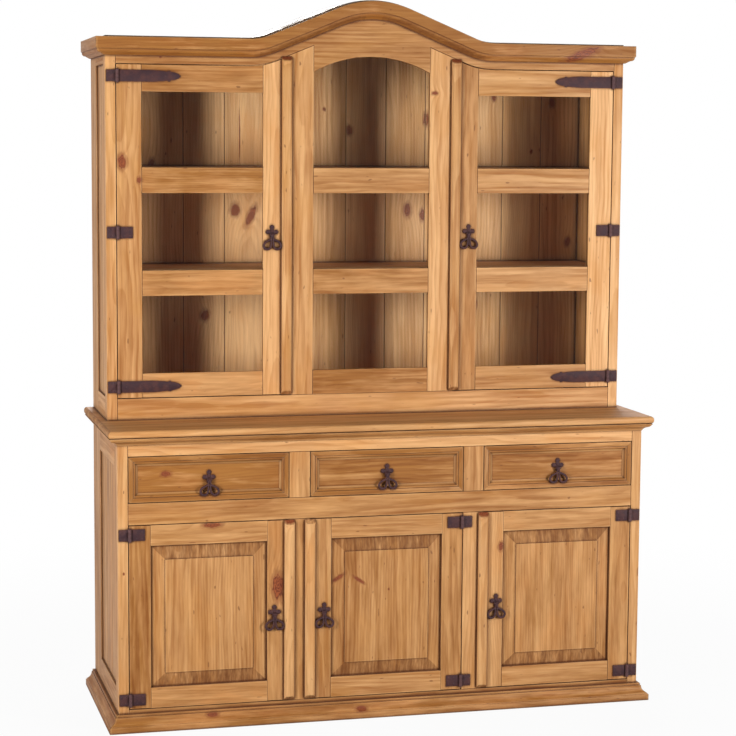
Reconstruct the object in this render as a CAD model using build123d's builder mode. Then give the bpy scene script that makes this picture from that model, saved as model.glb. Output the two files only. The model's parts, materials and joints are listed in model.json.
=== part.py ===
from build123d import *

import os
from math import cos, radians, sqrt, tan

# Trastero: a two-part rustic pine dresser. The base has three drawers over three panelled doors, and the
# glazed hutch on it ends in an arched cornice.
# X runs to the right, Y from front to back, Z up. The origin is on the floor under the middle of the
# overall box. All sizes are in millimetres.

os.makedirs("parts", exist_ok=True)

# ---------------------------------------------------------------- driving dimensions
BODY_WIDTH = 1600.0  # carcass, over the side frames
BASE_DEPTH = 545.0  # base carcass, front to back
HUTCH_DEPTH = 335.0
COUNTER_HEIGHT = 880.0  # floor to the top of the counter
CORNICE_HEIGHT = 2000.0  # floor to the top of the cornice at its flat ends

STOCK = 22.0  # thickness of frames, doors and drawer fronts
POST_WIDTH = 30.0  # face of a corner post
JOINT = 0.2  # glue line between two pieces of wood
FIT_GAP = 2.0  # running gap round a door or a drawer front

PLINTH_HEIGHT = 50.0
PLINTH_REACH = 30.0
PLINTH_FACE = 18.5  # flat part of the plinth's face
PLINTH_ROUND_TOP = 43.0
QUIRK = 3.0  # depth of the small sunk lines in the mouldings

BOTTOM_RAIL_TOP = 62.0  # floor to the bottom of the base doors' openings
BASE_DOOR_OPENING = 542.0
MIDDLE_RAIL = 63.0
DRAWER_OPENING = 136.0
CENTRE_BAY = 470.0
MULLION = 62.0

BASE_DOOR_STILE = 63.0
BASE_DOOR_RAIL = 60.0
PANEL_CHEEK = 10.0  # wood in front of the panel's tongue
PANEL_TONGUE = 6.6
PANEL_GROOVE = 9.0
PANEL_BEVEL = 42.0
PANEL_STEP = 2.0  # the small step round the raised field
PANEL_SINK = 1.0  # the raised field lies this far behind the frame
TENON = 35.0

COUNTER_BOARD = 22.0
COUNTER_REACH = 29.0
COUNTER_BOARDS = 3
COUNTER_NOSE = 9.0
BED_MOULDING = 23.0

HUTCH_RAIL = 64.0  # bottom rail of the hutch
HUTCH_DOOR_STILE = 73.0  # on the hinge side
HUTCH_INNER_STILE = 69.0
HUTCH_DOOR_RAIL = 72.0
GLAZING_RAIL = 75.0
GLAZING_RAIL_LIFTS = (303.0, 605.0)  # from the doors' opening to the bottom of each glazing rail
TOP_PANE_END = 900.0  # from the doors' opening to the top of the upper pane
CENTRE_WINDOW = 524.0  # fixed window, over its stiles
CENTRE_GLASS = 360.0
WINDOW_SPRING = 964.0  # from the doors' opening to the spring of the window's arch
WINDOW_RISE = 47.0

GLASS = 4.0
GLASS_LIP = 10.0  # wood in front of the glass
REBATE = 10.0
BEAD = 8.0

CORNICE_REACH = 30.0
CORNICE_DROP = 52.0
CORNICE_FLAT = 33.0
CORNICE_BEAD = 9.0
FASCIA_DROP = 76.0  # from the cornice's top edge to the fascia's lower edge
ARCH_ELBOW = 347.0  # from the middle to the bend where the cornice starts to climb
ARCH_SLOPE = 22.14  # degrees
ELBOW_RADIUS = 160.0
CROWN_RADIUS = 294.0
ROOF_BOARD = 15.0
ROOF_PROUD = 4.5  # how far the roof planks stand above the cornice
ROOF_BOARDS = 12

BASE_SIDE_FRONT_STILE = 33.0
BASE_SIDE_BACK_STILE = 155.0
BASE_SIDE_TOP_RAIL = 89.0
BASE_SIDE_BOTTOM_RAIL = 120.0
BASE_SIDE_PLANKS = 3
HUTCH_SIDE_FRONT_STILE = 24.0
HUTCH_SIDE_BACK_STILE = 122.0
HUTCH_SIDE_TOP_RAIL = 62.0
HUTCH_SIDE_BOTTOM_RAIL = 65.0
HUTCH_SIDE_PLANKS = 2
PLANK = 11.0
PLANK_TONGUE = 5.0
PLANK_CHAMFER = 1.6
SIDE_PANEL_SINK = 6.0
BACK_PLANKS = 12

SHELF = 20.0
SHELF_SETBACK = 10.0  # front edge of a shelf behind the doors
BASE_SHELF_HEIGHT = 330.0
CLEAT = 20.0

DRAWER_SIDE = 12.0
DRAWER_SIDE_GAP = 8.0  # between a drawer's side and the opening
DRAWER_LENGTH = 440.0
DRAWER_HEADROOM = 16.0
DRAWER_BOTTOM = 6.0
DRAWER_BOTTOM_LIFT = 8.0
DRAWER_GROOVE = 5.0
RUNNER_HEIGHT = 20.0
GUIDE_HEIGHT = 25.0
SLIDE_GAP = 0.3
FRONT_MOULDING = 27.0
FRONT_MOULDING_FLAT = 13.0
FRONT_MOULDING_DEPTH = 8.0

ASTRAGAL = 30.0
ASTRAGAL_DEPTH = 13.0
ASTRAGAL_LAP = 17.0  # how far it reaches past the door's edge
ASTRAGAL_BEVEL = 5.0
ASTRAGAL_END_BEVEL = 12.0
ASTRAGAL_CLEARANCE = 0.5
ASTRAGAL_CLIMB = 28.0  # how far a hutch door's strip runs up past the fascia's flat ends

LEAF = 2.5
LEAF_HEIGHT = 33.0
POST_LEAF_MARGIN = 3.0  # bare wood between a fixed leaf and the post's outer edge
DOOR_LEAF = 44.0
STRAP_LENGTH = 187.0
BARREL_RADIUS = 5.0
BARREL_HEIGHT = 37.0
PIN_RADIUS = 2.4
PIN_CLEARANCE = 0.1
PIN_INSET = 4.0  # hinge axis from the edge of the opening
BARREL_FLATS = 6  # rolled and forged iron is drawn with flats
PIN_FLATS = 6
IRON_GAP = 0.3  # between moving iron and what is beside it
BASE_HINGE_INSET = 29.0  # hinge centre from the top or bottom of its opening
HUTCH_HINGE_INSET = 35.0
MIDDLE_HINGE_LIFT = 490.0

PLATE = 2.5
PLATE_RISE = 27.5  # point of the plate above the pull's pin
PLATE_FALL = 13.0
PLATE_LOBE = 18.0
PLATE_BEVEL = 0.8
PULL_PIN_RADIUS = 1.6
DOOR_PULL_REACH = 4.6  # pull pin in front of its plate
DRAWER_PULL_REACH = 9.0
PULL_EAR = 3.0
PULL_EAR_RADIUS = 3.4
PULL_EYE_RADIUS = 3.7
PULL_EYE_WIDTH = 6.0
DROP_THICKNESS = 4.5
DROP_LOOP_RADIUS = 13.5
DROP_LOOP_HOLE = 8.6
DROP_LOOP_REACH = 14.5
DROP_LOOP_FALL = 33.0
DROP_STEM = 2.8
DROP_FLATS = 8  # flats round each loop
DRAWER_PULL_LIFT = 62.0  # pull axis above the bottom of the drawer opening
BASE_PULL_LIFT = 261.0  # pull axis above the bottom of the base doors' openings
BASE_PULL_X = 341.0
CENTRE_PULL_X = -191.0
HUTCH_PULL_LIFT = 483.0
HUTCH_PULL_X = 306.0

# ---------------------------------------------------------------- derived places
HALF = BODY_WIDTH / 2
POST_X = HALF - POST_WIDTH
BAY_X = CENTRE_BAY / 2
MULLION_X = BAY_X + MULLION
WINDOW_X = CENTRE_WINDOW / 2
PANE_X = CENTRE_GLASS / 2

FRONT = -(BASE_DEPTH - PLINTH_REACH) / 2  # front plane of the base
BACK = FRONT + BASE_DEPTH
HUTCH_FRONT = BACK - HUTCH_DEPTH
INSIDE_BACK = BACK - PLANK

DOOR_Z = (BOTTOM_RAIL_TOP, BOTTOM_RAIL_TOP + BASE_DOOR_OPENING)
DRAWER_Z = (DOOR_Z[1] + MIDDLE_RAIL, DOOR_Z[1] + MIDDLE_RAIL + DRAWER_OPENING)
CARCASS_TOP = COUNTER_HEIGHT - COUNTER_BOARD
HUTCH_DOOR_Z = COUNTER_HEIGHT + HUTCH_RAIL
ROOF_UNDER = CORNICE_HEIGHT - ROOF_BOARD
FASCIA_EDGE = CORNICE_HEIGHT - FASCIA_DROP
WINDOW_SPRING_Z = HUTCH_DOOR_Z + WINDOW_SPRING
WINDOW_RADIUS = (PANE_X**2 + WINDOW_RISE**2) / (2 * WINDOW_RISE)
ABOVE = CORNICE_HEIGHT + ARCH_ELBOW  # higher than anything
AXIS_REACH = IRON_GAP + BARREL_RADIUS  # hinge axis in front of the face it serves


def save(part, node):
    """Name a finished piece and write it."""
    part.label = node
    export_step(part, f"parts/{node}.step")


def span(side, near, far):
    """Limits along X of a piece that lies between two distances from the middle, on one side."""
    return tuple(sorted((side * near, side * far)))


def grown(limits, amount):
    return (limits[0] - amount, limits[1] + amount)


def board(x, y, z, mode=Mode.ADD):
    """A square-edged board, given by its two limits along each axis."""
    with Locations((sum(x) / 2, sum(y) / 2, sum(z) / 2)):
        Box(x[1] - x[0], y[1] - y[0], z[1] - z[0], mode=mode)


def facing(y):
    """An upright plane that looks to the front: its x is X and its y is Z."""
    return Plane(origin=(0, y, 0), x_dir=(1, 0, 0), z_dir=(0, -1, 0))


# ---------------------------------------------------------------- the arch
def arch_corners(drop):
    """Elbow and peak of the line that runs a given drop below the cornice's top edge."""
    slope = radians(ARCH_SLOPE)
    elbow = ARCH_ELBOW - drop * tan(slope / 2)
    peak = CORNICE_HEIGHT + ARCH_ELBOW * tan(slope) - drop / cos(slope)
    return elbow, peak


def arch_line(drop, reach):
    """Draw that line: flat ends, hollow elbows, straight slopes and a round crown."""
    elbow, peak = arch_corners(drop)
    level = CORNICE_HEIGHT - drop
    return FilletPolyline(
        (-reach, level),
        (-elbow, level),
        (0, peak),
        (elbow, level),
        (reach, level),
        radius=(ELBOW_RADIUS + drop, CROWN_RADIUS - drop, ELBOW_RADIUS + drop),
    )


def under_arch(drop, reach, bottom):
    """The area from a level up to that line, as a sketch in its own plane."""
    with BuildSketch() as area:
        with BuildLine():
            top = arch_line(drop, reach)
            Polyline(top @ 1, (reach, bottom), (-reach, bottom), top @ 0)
        make_face()
    return area.sketch_local


def below_fascia():
    """What is left open under the fascia, beside the head of the centre window."""
    with BuildSketch() as area:
        add(under_arch(FASCIA_DROP, POST_X, WINDOW_SPRING_Z - 1))
        Rectangle(CENTRE_GLASS, ABOVE * 2, mode=Mode.SUBTRACT)
    return area.sketch_local


def window_area(bottom, grow):
    """The upper pane of the centre window, made larger by grow on every side."""
    half = PANE_X + grow
    rise = sqrt((WINDOW_RADIUS + grow) ** 2 - half**2) - sqrt(WINDOW_RADIUS**2 - PANE_X**2)
    spring = WINDOW_SPRING_Z + rise
    with BuildSketch() as area:
        with BuildLine():
            arc = ThreePointArc(
                (-half, spring), (0, WINDOW_SPRING_Z + WINDOW_RISE + grow), (half, spring)
            )
            Polyline(arc @ 1, (half, bottom - grow), (-half, bottom - grow), arc @ 0)
        make_face()
    return area.sketch_local


# ---------------------------------------------------------------- mouldings
def plinth_section():
    """Flat face, quirk, broad round and a ledge. x stands out, y goes up."""
    ledge = 9.0
    with BuildSketch() as section:
        with BuildLine():
            Polyline(
                (0, PLINTH_HEIGHT),
                (0, 0),
                (PLINTH_REACH, 0),
                (PLINTH_REACH, PLINTH_FACE),
                (PLINTH_REACH - QUIRK, PLINTH_FACE + 1),
                (PLINTH_REACH - QUIRK, PLINTH_FACE + QUIRK),
            )
            RadiusArc(
                (PLINTH_REACH - QUIRK, PLINTH_FACE + QUIRK),
                (ledge + QUIRK, PLINTH_ROUND_TOP),
                PLINTH_REACH * 0.7,
            )
            Polyline(
                (ledge + QUIRK, PLINTH_ROUND_TOP),
                (ledge, PLINTH_ROUND_TOP),
                (ledge, PLINTH_HEIGHT),
                (0, PLINTH_HEIGHT),
            )
        make_face()
    return section.sketch_local


def bed_section():
    """Round, quirk and hollow under the counter. x stands out, y goes down from the counter board."""
    reach = COUNTER_REACH - 3
    round_end = (reach * 0.56, -BED_MOULDING * 0.5)
    hollow = (round_end[0] - QUIRK, round_end[1] - 1)
    with BuildSketch() as section:
        with BuildLine():
            Polyline((0, -BED_MOULDING), (0, 0), (reach, 0), (reach, -2), (reach - 2, -QUIRK))
            RadiusArc((reach - 2, -QUIRK), round_end, BED_MOULDING * 0.55)
            Line(round_end, hollow)
            RadiusArc(hollow, (1, -BED_MOULDING), -BED_MOULDING * 0.8)
            Line((1, -BED_MOULDING), (0, -BED_MOULDING))
        make_face()
    return section.sketch_local


def cornice_section():
    """Broad flat, quirk, bead and hollow. x stands out, y goes down from the top edge."""
    quirk_in = CORNICE_REACH - QUIRK
    bead_top = -CORNICE_FLAT - QUIRK
    bead_end = (CORNICE_REACH * 0.66, bead_top - CORNICE_BEAD)
    hollow = (bead_end[0] - QUIRK, bead_end[1])
    hollow_end = (CORNICE_REACH * 0.16, -CORNICE_DROP)
    with BuildSketch() as section:
        with BuildLine():
            Polyline(
                hollow_end,
                (0, -CORNICE_DROP),
                (0, 0),
                (CORNICE_REACH, 0),
                (CORNICE_REACH, -CORNICE_FLAT),
                (quirk_in, -CORNICE_FLAT - 1),
                (quirk_in, bead_top),
            )
            RadiusArc((quirk_in, bead_top), bead_end, CORNICE_BEAD)
            Line(bead_end, hollow)
            Line(hollow, hollow_end)
        make_face()
    return section.sketch_local


def mitre_off(front, keep_front):
    """Cut both front corners of a moulding to 45 degrees, with half a glue line left at each."""
    big = 4 * PLINTH_REACH
    shift = -JOINT / 4 if keep_front else JOINT / 4
    away = 1 if keep_front else -1
    corner = (HALF + shift, front + shift)
    with BuildSketch() as wedges:
        for side in (1, -1):
            with BuildLine():
                Polyline(
                    (side * (corner[0] - big), corner[1] + big),
                    (side * (corner[0] + big), corner[1] - big),
                    (side * (corner[0] + away * big), corner[1] + away * big),
                    close=True,
                )
            make_face()
    extrude(wedges.sketch, amount=ABOVE, mode=Mode.SUBTRACT)


def returns(section, level, front, reach):
    """The two side lengths of a moulding, from past its front corner to the back."""
    with BuildPart() as run:
        with BuildSketch(Plane(origin=(HALF, BACK, level), x_dir=(1, 0, 0), z_dir=(0, -1, 0))):
            add(section)
        extrude(amount=BACK - front + reach)
        mitre_off(front, keep_front=False)
        mirror(about=Plane.YZ)
    return run.part


def straight_front(section, level, front, reach):
    """The front length of a straight moulding."""
    with BuildPart() as run:
        with BuildSketch(Plane(origin=(HALF + reach, front, level), x_dir=(0, -1, 0), z_dir=(-1, 0, 0))):
            add(section)
        extrude(amount=2 * (HALF + reach))
        mitre_off(front, keep_front=True)
    return run.part


# ---------------------------------------------------------------- planked panels
def plank_outline(start, stop, groove, tongue):
    """Plan of one plank: x along the row, y through it from its chamfered face."""
    left = start + JOINT / 2
    right = stop - JOINT / 2
    third = PLANK / 3
    slack = JOINT / 2
    points = [(left + PLANK_CHAMFER, 0), (right - PLANK_CHAMFER, 0), (right, PLANK_CHAMFER)]
    if tongue:
        points += [(right, third), (right + PLANK_TONGUE, third)]
        points += [(right + PLANK_TONGUE, 2 * third), (right, 2 * third)]
    points += [(right, PLANK), (left, PLANK)]
    if groove:
        points += [(left, 2 * third + slack), (left + PLANK_TONGUE + slack, 2 * third + slack)]
        points += [(left + PLANK_TONGUE + slack, third - slack), (left, third - slack)]
    points += [(left, PLANK_CHAMFER)]
    return points


def plank_row(start, stop, count):
    """Plans of a whole row of tongued and grooved planks."""
    width = (stop - start) / count
    return [
        plank_outline(start + i * width, start + (i + 1) * width, i > 0, i < count - 1)
        for i in range(count)
    ]


# ---------------------------------------------------------------- the base
with BuildPart() as plinth_moulding:
    add(straight_front(plinth_section(), 0, FRONT, PLINTH_REACH))
    add(returns(plinth_section(), 0, FRONT, PLINTH_REACH))
save(plinth_moulding.part, "plinth_moulding")

face = (FRONT, FRONT + STOCK)
between_posts = (-POST_X + JOINT, POST_X - JOINT)
with BuildPart() as base_face_frame:
    for side in (-1, 1):
        board(span(side, POST_X, HALF), face, (0, CARCASS_TOP))
        for lower, upper in (DOOR_Z, DRAWER_Z):
            board(span(side, BAY_X, MULLION_X), face, (lower + JOINT, upper - JOINT))
    board(between_posts, face, (0, DOOR_Z[0]))
    board(between_posts, face, (DOOR_Z[1], DRAWER_Z[0]))
    board(between_posts, face, (DRAWER_Z[1], CARCASS_TOP))
save(base_face_frame.part, "base_face_frame")


def side_frame(front, bottom, top, front_stile, back_stile, bottom_rail, top_rail, planks):
    """Right-hand side of a carcass: a frame round a panel of upright planks."""
    x = (HALF - STOCK, HALF)
    start = front + STOCK + JOINT
    panel_y = (start + front_stile, BACK - back_stile)
    panel_z = (bottom + bottom_rail, top - top_rail)
    face_x = HALF - SIDE_PANEL_SINK
    slack = JOINT / 2
    groove_x = (face_x - PLANK - slack, face_x + slack)
    groove = PANEL_GROOVE
    with BuildPart() as frame:
        board(x, (start, panel_y[0]), (bottom, top))
        board(x, (panel_y[1], BACK), (bottom, top))
        board(groove_x, (panel_y[0] - groove, panel_y[1] + groove), (bottom, top), Mode.SUBTRACT)
        rail_y = (panel_y[0] + JOINT, panel_y[1] - JOINT)
        tenon_y = (panel_y[0] - groove + JOINT, panel_y[1] + groove - JOINT)
        tenon_x = (groove_x[0] + slack, groove_x[1] - slack)
        for rail in ((bottom, panel_z[0]), (panel_z[1], top)):
            board(x, rail_y, rail)
            board(tenon_x, tenon_y, rail)
        board(groove_x, rail_y, (panel_z[0] - groove, panel_z[1] + groove), Mode.SUBTRACT)
        board(groove_x, tenon_y, (panel_z[0] - groove, panel_z[1] + groove), Mode.SUBTRACT)
        plank_plane = Plane(
            origin=(face_x, 0, panel_z[0] - groove + JOINT), x_dir=(0, 1, 0), z_dir=(0, 0, 1)
        )
        with BuildSketch(plank_plane):
            for points in plank_row(tenon_y[0], tenon_y[1], planks):
                with BuildLine():
                    Polyline(*points, close=True)
                make_face()
        extrude(amount=panel_z[1] - panel_z[0] + 2 * (groove - JOINT))
    return frame.part


with BuildPart() as base_right_side:
    add(
        side_frame(
            FRONT,
            0,
            CARCASS_TOP,
            BASE_SIDE_FRONT_STILE,
            BASE_SIDE_BACK_STILE,
            BASE_SIDE_BOTTOM_RAIL,
            BASE_SIDE_TOP_RAIL,
            BASE_SIDE_PLANKS,
        )
    )
save(base_right_side.part, "base_right_side")

with BuildPart() as base_left_side:
    mirror(base_right_side.part, about=Plane.YZ)
save(base_left_side.part, "base_left_side")

inside_x = HALF - STOCK - JOINT


def shelf_with_cleats(level, front):
    """A shelf from side to side, with its top at a level, on a cleat at each end."""
    board((-inside_x, inside_x), (front, INSIDE_BACK - JOINT), (level - SHELF, level))
    for side in (-1, 1):
        board(
            span(side, inside_x - CLEAT, inside_x),
            (front + CLEAT, INSIDE_BACK - CLEAT),
            (level - SHELF - CLEAT - JOINT, level - SHELF - JOINT),
        )


with BuildPart() as base_shelves:
    for level, setback in ((DOOR_Z[0], JOINT), (BASE_SHELF_HEIGHT, 4 * SHELF_SETBACK)):
        shelf_with_cleats(level, FRONT + STOCK + setback)
save(base_shelves.part, "base_shelves")

with BuildPart() as base_back_planks:
    with BuildSketch():
        for points in plank_row(-inside_x, inside_x, BACK_PLANKS):
            with BuildLine():
                Polyline(*[(x, INSIDE_BACK + y) for x, y in points], close=True)
            make_face()
    extrude(amount=CARCASS_TOP)
save(base_back_planks.part, "base_back_planks")

# Runners: a ledge under each drawer side and a guide between the drawers, with a stop at the back.
runner_y = (FRONT + STOCK + JOINT, INSIDE_BACK - JOINT)
ledge_z = (DRAWER_Z[0] - RUNNER_HEIGHT, DRAWER_Z[0])
guide_z = (DRAWER_Z[0] - RUNNER_HEIGHT, DRAWER_Z[0] + GUIDE_HEIGHT)
drawer_back = FRONT + STOCK + DRAWER_LENGTH
stop_y = (drawer_back + SLIDE_GAP, INSIDE_BACK - JOINT)
guide_gap = DRAWER_SIDE_GAP - 1
with BuildPart() as drawer_runners:
    for side in (-1, 1):
        middle = (BAY_X - DRAWER_SIDE_GAP - DRAWER_SIDE, MULLION_X + DRAWER_SIDE_GAP + DRAWER_SIDE)
        outer = (POST_X - DRAWER_SIDE_GAP - DRAWER_SIDE, inside_x)
        board(span(side, *middle), runner_y, ledge_z)
        board(span(side, BAY_X - guide_gap, MULLION_X + guide_gap), runner_y, guide_z)
        board(span(side, *middle), stop_y, guide_z)
        board(span(side, *outer), runner_y, ledge_z)
        board(span(side, POST_X - guide_gap, inside_x), runner_y, guide_z)
        board(span(side, *outer), stop_y, guide_z)
save(drawer_runners.part, "drawer_runners")

counter_x = HALF + COUNTER_REACH
counter_y = (FRONT - COUNTER_REACH, BACK)
with BuildPart() as counter_top:
    board((-counter_x, counter_x), counter_y, (CARCASS_TOP, COUNTER_HEIGHT))
    nosed = counter_top.edges().filter_by(Axis.X).filter_by_position(Axis.Y, *grown((counter_y[0],) * 2, 1))
    nosed += counter_top.edges().filter_by(Axis.Y)
    fillet(nosed, radius=COUNTER_NOSE)
    for i in range(1, COUNTER_BOARDS):
        seam = counter_y[0] + (counter_y[1] - counter_y[0]) * i / COUNTER_BOARDS
        board(
            grown((-counter_x, counter_x), 1),
            (seam - JOINT / 2, seam + JOINT / 2),
            grown((CARCASS_TOP, COUNTER_HEIGHT), 1),
            Mode.SUBTRACT,
        )
    bed_level = CARCASS_TOP - JOINT
    add(straight_front(bed_section(), bed_level, FRONT, COUNTER_REACH))
    add(returns(bed_section(), bed_level, FRONT, COUNTER_REACH))
save(counter_top.part, "counter_top")

# ---------------------------------------------------------------- the hutch carcass
hutch_face = (HUTCH_FRONT, HUTCH_FRONT + STOCK)
with BuildPart() as hutch_right_side:
    add(
        side_frame(
            HUTCH_FRONT,
            COUNTER_HEIGHT,
            ROOF_UNDER,
            HUTCH_SIDE_FRONT_STILE,
            HUTCH_SIDE_BACK_STILE,
            HUTCH_SIDE_BOTTOM_RAIL,
            HUTCH_SIDE_TOP_RAIL,
            HUTCH_SIDE_PLANKS,
        )
    )
save(hutch_right_side.part, "hutch_right_side")

with BuildPart() as hutch_left_side:
    mirror(hutch_right_side.part, about=Plane.YZ)
save(hutch_left_side.part, "hutch_left_side")

upper_pane_z = HUTCH_DOOR_Z + GLAZING_RAIL_LIFTS[1] + GLAZING_RAIL
with BuildPart() as hutch_face_frame:
    for side in (-1, 1):
        board(span(side, POST_X, HALF), hutch_face, (COUNTER_HEIGHT, ROOF_UNDER))
    board(between_posts, hutch_face, (COUNTER_HEIGHT, HUTCH_DOOR_Z))
    # The fascia follows the cornice, and its middle part comes down as the head of the centre window.
    with BuildSketch(facing(HUTCH_FRONT)):
        add(under_arch(ROOF_BOARD, POST_X - JOINT, WINDOW_SPRING_Z))
        add(below_fascia(), mode=Mode.SUBTRACT)
        add(window_area(upper_pane_z, 0), mode=Mode.SUBTRACT)
    extrude(amount=-STOCK)
    with BuildSketch(facing(HUTCH_FRONT + GLASS_LIP)):
        add(window_area(upper_pane_z, REBATE))
    extrude(amount=-STOCK, mode=Mode.SUBTRACT)
save(hutch_face_frame.part, "hutch_face_frame")

with BuildPart() as hutch_shelves:
    for level in (HUTCH_DOOR_Z, *(HUTCH_DOOR_Z + lift + GLAZING_RAIL for lift in GLAZING_RAIL_LIFTS)):
        shelf_with_cleats(level, HUTCH_FRONT + STOCK + SHELF_SETBACK)
save(hutch_shelves.part, "hutch_shelves")

with BuildPart() as hutch_back_planks:
    with BuildSketch(Plane.XY.offset(COUNTER_HEIGHT)):
        for points in plank_row(-inside_x, inside_x, BACK_PLANKS):
            with BuildLine():
                Polyline(*[(x, INSIDE_BACK + y) for x, y in points], close=True)
            make_face()
    extrude(amount=ABOVE - COUNTER_HEIGHT)
    with BuildSketch(facing(BACK + 1)):
        add(under_arch(ROOF_BOARD + JOINT, HALF, 0))
    extrude(amount=2 * PLANK, mode=Mode.INTERSECT)
save(hutch_back_planks.part, "hutch_back_planks")

# Roof planks run from front to back, follow the arch and stand a little proud of the cornice.
with BuildPart() as hutch_roof:
    with BuildSketch(facing(BACK)):
        add(under_arch(-ROOF_PROUD, HALF, ROOF_UNDER))
        add(under_arch(ROOF_BOARD, HALF, ROOF_UNDER - 1), mode=Mode.SUBTRACT)
        for i in range(1, ROOF_BOARDS):
            with Locations((-HALF + BODY_WIDTH * i / ROOF_BOARDS, 0)):
                Rectangle(JOINT, ABOVE * 2, mode=Mode.SUBTRACT)
    extrude(amount=HUTCH_DEPTH - JOINT)
save(hutch_roof.part, "hutch_roof")

with BuildPart() as arched_front:
    with BuildLine(facing(HUTCH_FRONT)) as cornice_path:
        arch_line(0, HALF + CORNICE_REACH)
    section_plane = Plane(
        origin=(HALF + CORNICE_REACH, HUTCH_FRONT, CORNICE_HEIGHT), x_dir=(0, -1, 0), z_dir=(-1, 0, 0)
    )
    with BuildSketch(section_plane):
        add(cornice_section())
    sweep(path=cornice_path.wires()[0])
    mitre_off(HUTCH_FRONT, keep_front=True)

with BuildPart() as cornice_moulding:
    add(arched_front.part)
    add(returns(cornice_section(), CORNICE_HEIGHT, HUTCH_FRONT, CORNICE_REACH))
save(cornice_moulding.part, "cornice_moulding")


# ---------------------------------------------------------------- glazing
def pane_levels():
    """Bottom and top of each pane of a hutch door."""
    rails = [(HUTCH_DOOR_Z + lift, HUTCH_DOOR_Z + lift + GLAZING_RAIL) for lift in GLAZING_RAIL_LIFTS]
    floors = [HUTCH_DOOR_Z + FIT_GAP + HUTCH_DOOR_RAIL] + [top for _, top in rails]
    heads = [bottom for bottom, _ in rails] + [HUTCH_DOOR_Z + TOP_PANE_END]
    return list(zip(floors, heads))


glass_y = (HUTCH_FRONT + GLASS_LIP + JOINT, HUTCH_FRONT + GLASS_LIP + JOINT + GLASS)
bead_y = (glass_y[1] + JOINT, HUTCH_FRONT + STOCK)


def rebate(x, z):
    """Rebate round an opening, from the glass lip to the back of the frame."""
    behind_lip = (HUTCH_FRONT + GLASS_LIP, HUTCH_FRONT + STOCK + 1)
    board(grown(x, REBATE), behind_lip, grown(z, REBATE), Mode.SUBTRACT)
    board(x, grown(hutch_face, 1), z, Mode.SUBTRACT)


def beads(x, z, head=True):
    """Four loose beads that hold one pane, or three where the head is arched."""
    outside_x = grown(x, REBATE - JOINT)
    outside_z = grown(z, REBATE - JOINT)
    inside_z = (outside_z[0] + BEAD + JOINT, outside_z[1] - (BEAD + JOINT if head else 0))
    board(outside_x, bead_y, (outside_z[0], outside_z[0] + BEAD))
    if head:
        board(outside_x, bead_y, (outside_z[1] - BEAD, outside_z[1]))
    board((outside_x[0], outside_x[0] + BEAD), bead_y, inside_z)
    board((outside_x[1] - BEAD, outside_x[1]), bead_y, inside_z)


def tenoned_rail(x, y, z, cheeks):
    """A rail between two stiles, with a tenon at each end. Its mortises are cut first."""
    shoulder = (z[1] - z[0]) / 5
    height = (z[0] + shoulder, z[1] - shoulder)
    board(grown(x, TENON + JOINT), grown(cheeks, JOINT / 2), grown(height, JOINT / 2), Mode.SUBTRACT)
    board(grown(x, -JOINT), y, z)
    board(grown(x, TENON), cheeks, height)


hutch_cheeks = (HUTCH_FRONT + STOCK / 3, HUTCH_FRONT + 2 * STOCK / 3)
window_rails = [
    (HUTCH_DOOR_Z + JOINT, pane_levels()[0][0]),
    *((HUTCH_DOOR_Z + lift, HUTCH_DOOR_Z + lift + GLAZING_RAIL) for lift in GLAZING_RAIL_LIFTS),
]
with BuildPart() as centre_window:
    for side in (-1, 1):
        board(span(side, PANE_X, WINDOW_X), hutch_face, (HUTCH_DOOR_Z + JOINT, ABOVE))
    for rail in window_rails:
        tenoned_rail((-PANE_X, PANE_X), hutch_face, rail, hutch_cheeks)
    with BuildSketch(facing(HUTCH_FRONT + STOCK)):
        add(under_arch(FASCIA_DROP + JOINT, HALF, HUTCH_DOOR_Z))
    extrude(amount=STOCK, mode=Mode.INTERSECT)
    for z in pane_levels()[:2]:
        rebate((-PANE_X, PANE_X), z)
    with BuildSketch(facing(HUTCH_FRONT + GLASS_LIP)):
        add(window_area(upper_pane_z, REBATE))
    extrude(amount=-STOCK, mode=Mode.SUBTRACT)
    for z in pane_levels()[:2]:
        beads((-PANE_X, PANE_X), z)
    beads((-PANE_X, PANE_X), (upper_pane_z, WINDOW_SPRING_Z - REBATE), head=False)
save(centre_window.part, "centre_window")

with BuildPart() as centre_glass:
    for z in pane_levels()[:2]:
        board(grown((-PANE_X, PANE_X), REBATE - JOINT), glass_y, grown(z, REBATE - JOINT))
    with BuildSketch(facing(glass_y[0])):
        add(window_area(upper_pane_z, REBATE - JOINT))
    extrude(amount=-GLASS)
save(centre_glass.part, "centre_glass")


# ---------------------------------------------------------------- ironwork
def forged(middle, length, radius, flats, mode):
    """A bar of many flats, centred on a plane. Added, it lies inside its radius; cut, it leaves it clear."""
    with BuildSketch(middle) as section:
        RegularPolygon(radius, flats, major_radius=mode == Mode.ADD)
    extrude(section.sketch, amount=length / 2, both=True, mode=mode)


def barrel(z, radius, flats, mode=Mode.ADD):
    """An upright bar or bore on the Z axis."""
    forged(Plane.XY.offset(sum(z) / 2), z[1] - z[0], radius, flats, mode)


# A hinge is drawn with its axis on the Z axis and its leaf towards +X.
half_barrel = BARREL_HEIGHT / 2
lower_knuckle = (-half_barrel, -BARREL_HEIGHT / 6)
middle_knuckle = (-BARREL_HEIGHT / 6, BARREL_HEIGHT / 6)
upper_knuckle = (BARREL_HEIGHT / 6, half_barrel)
leaf_y = (AXIS_REACH - LEAF, AXIS_REACH)
knuckle_clearance = BARREL_RADIUS + 2 * IRON_GAP


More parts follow.
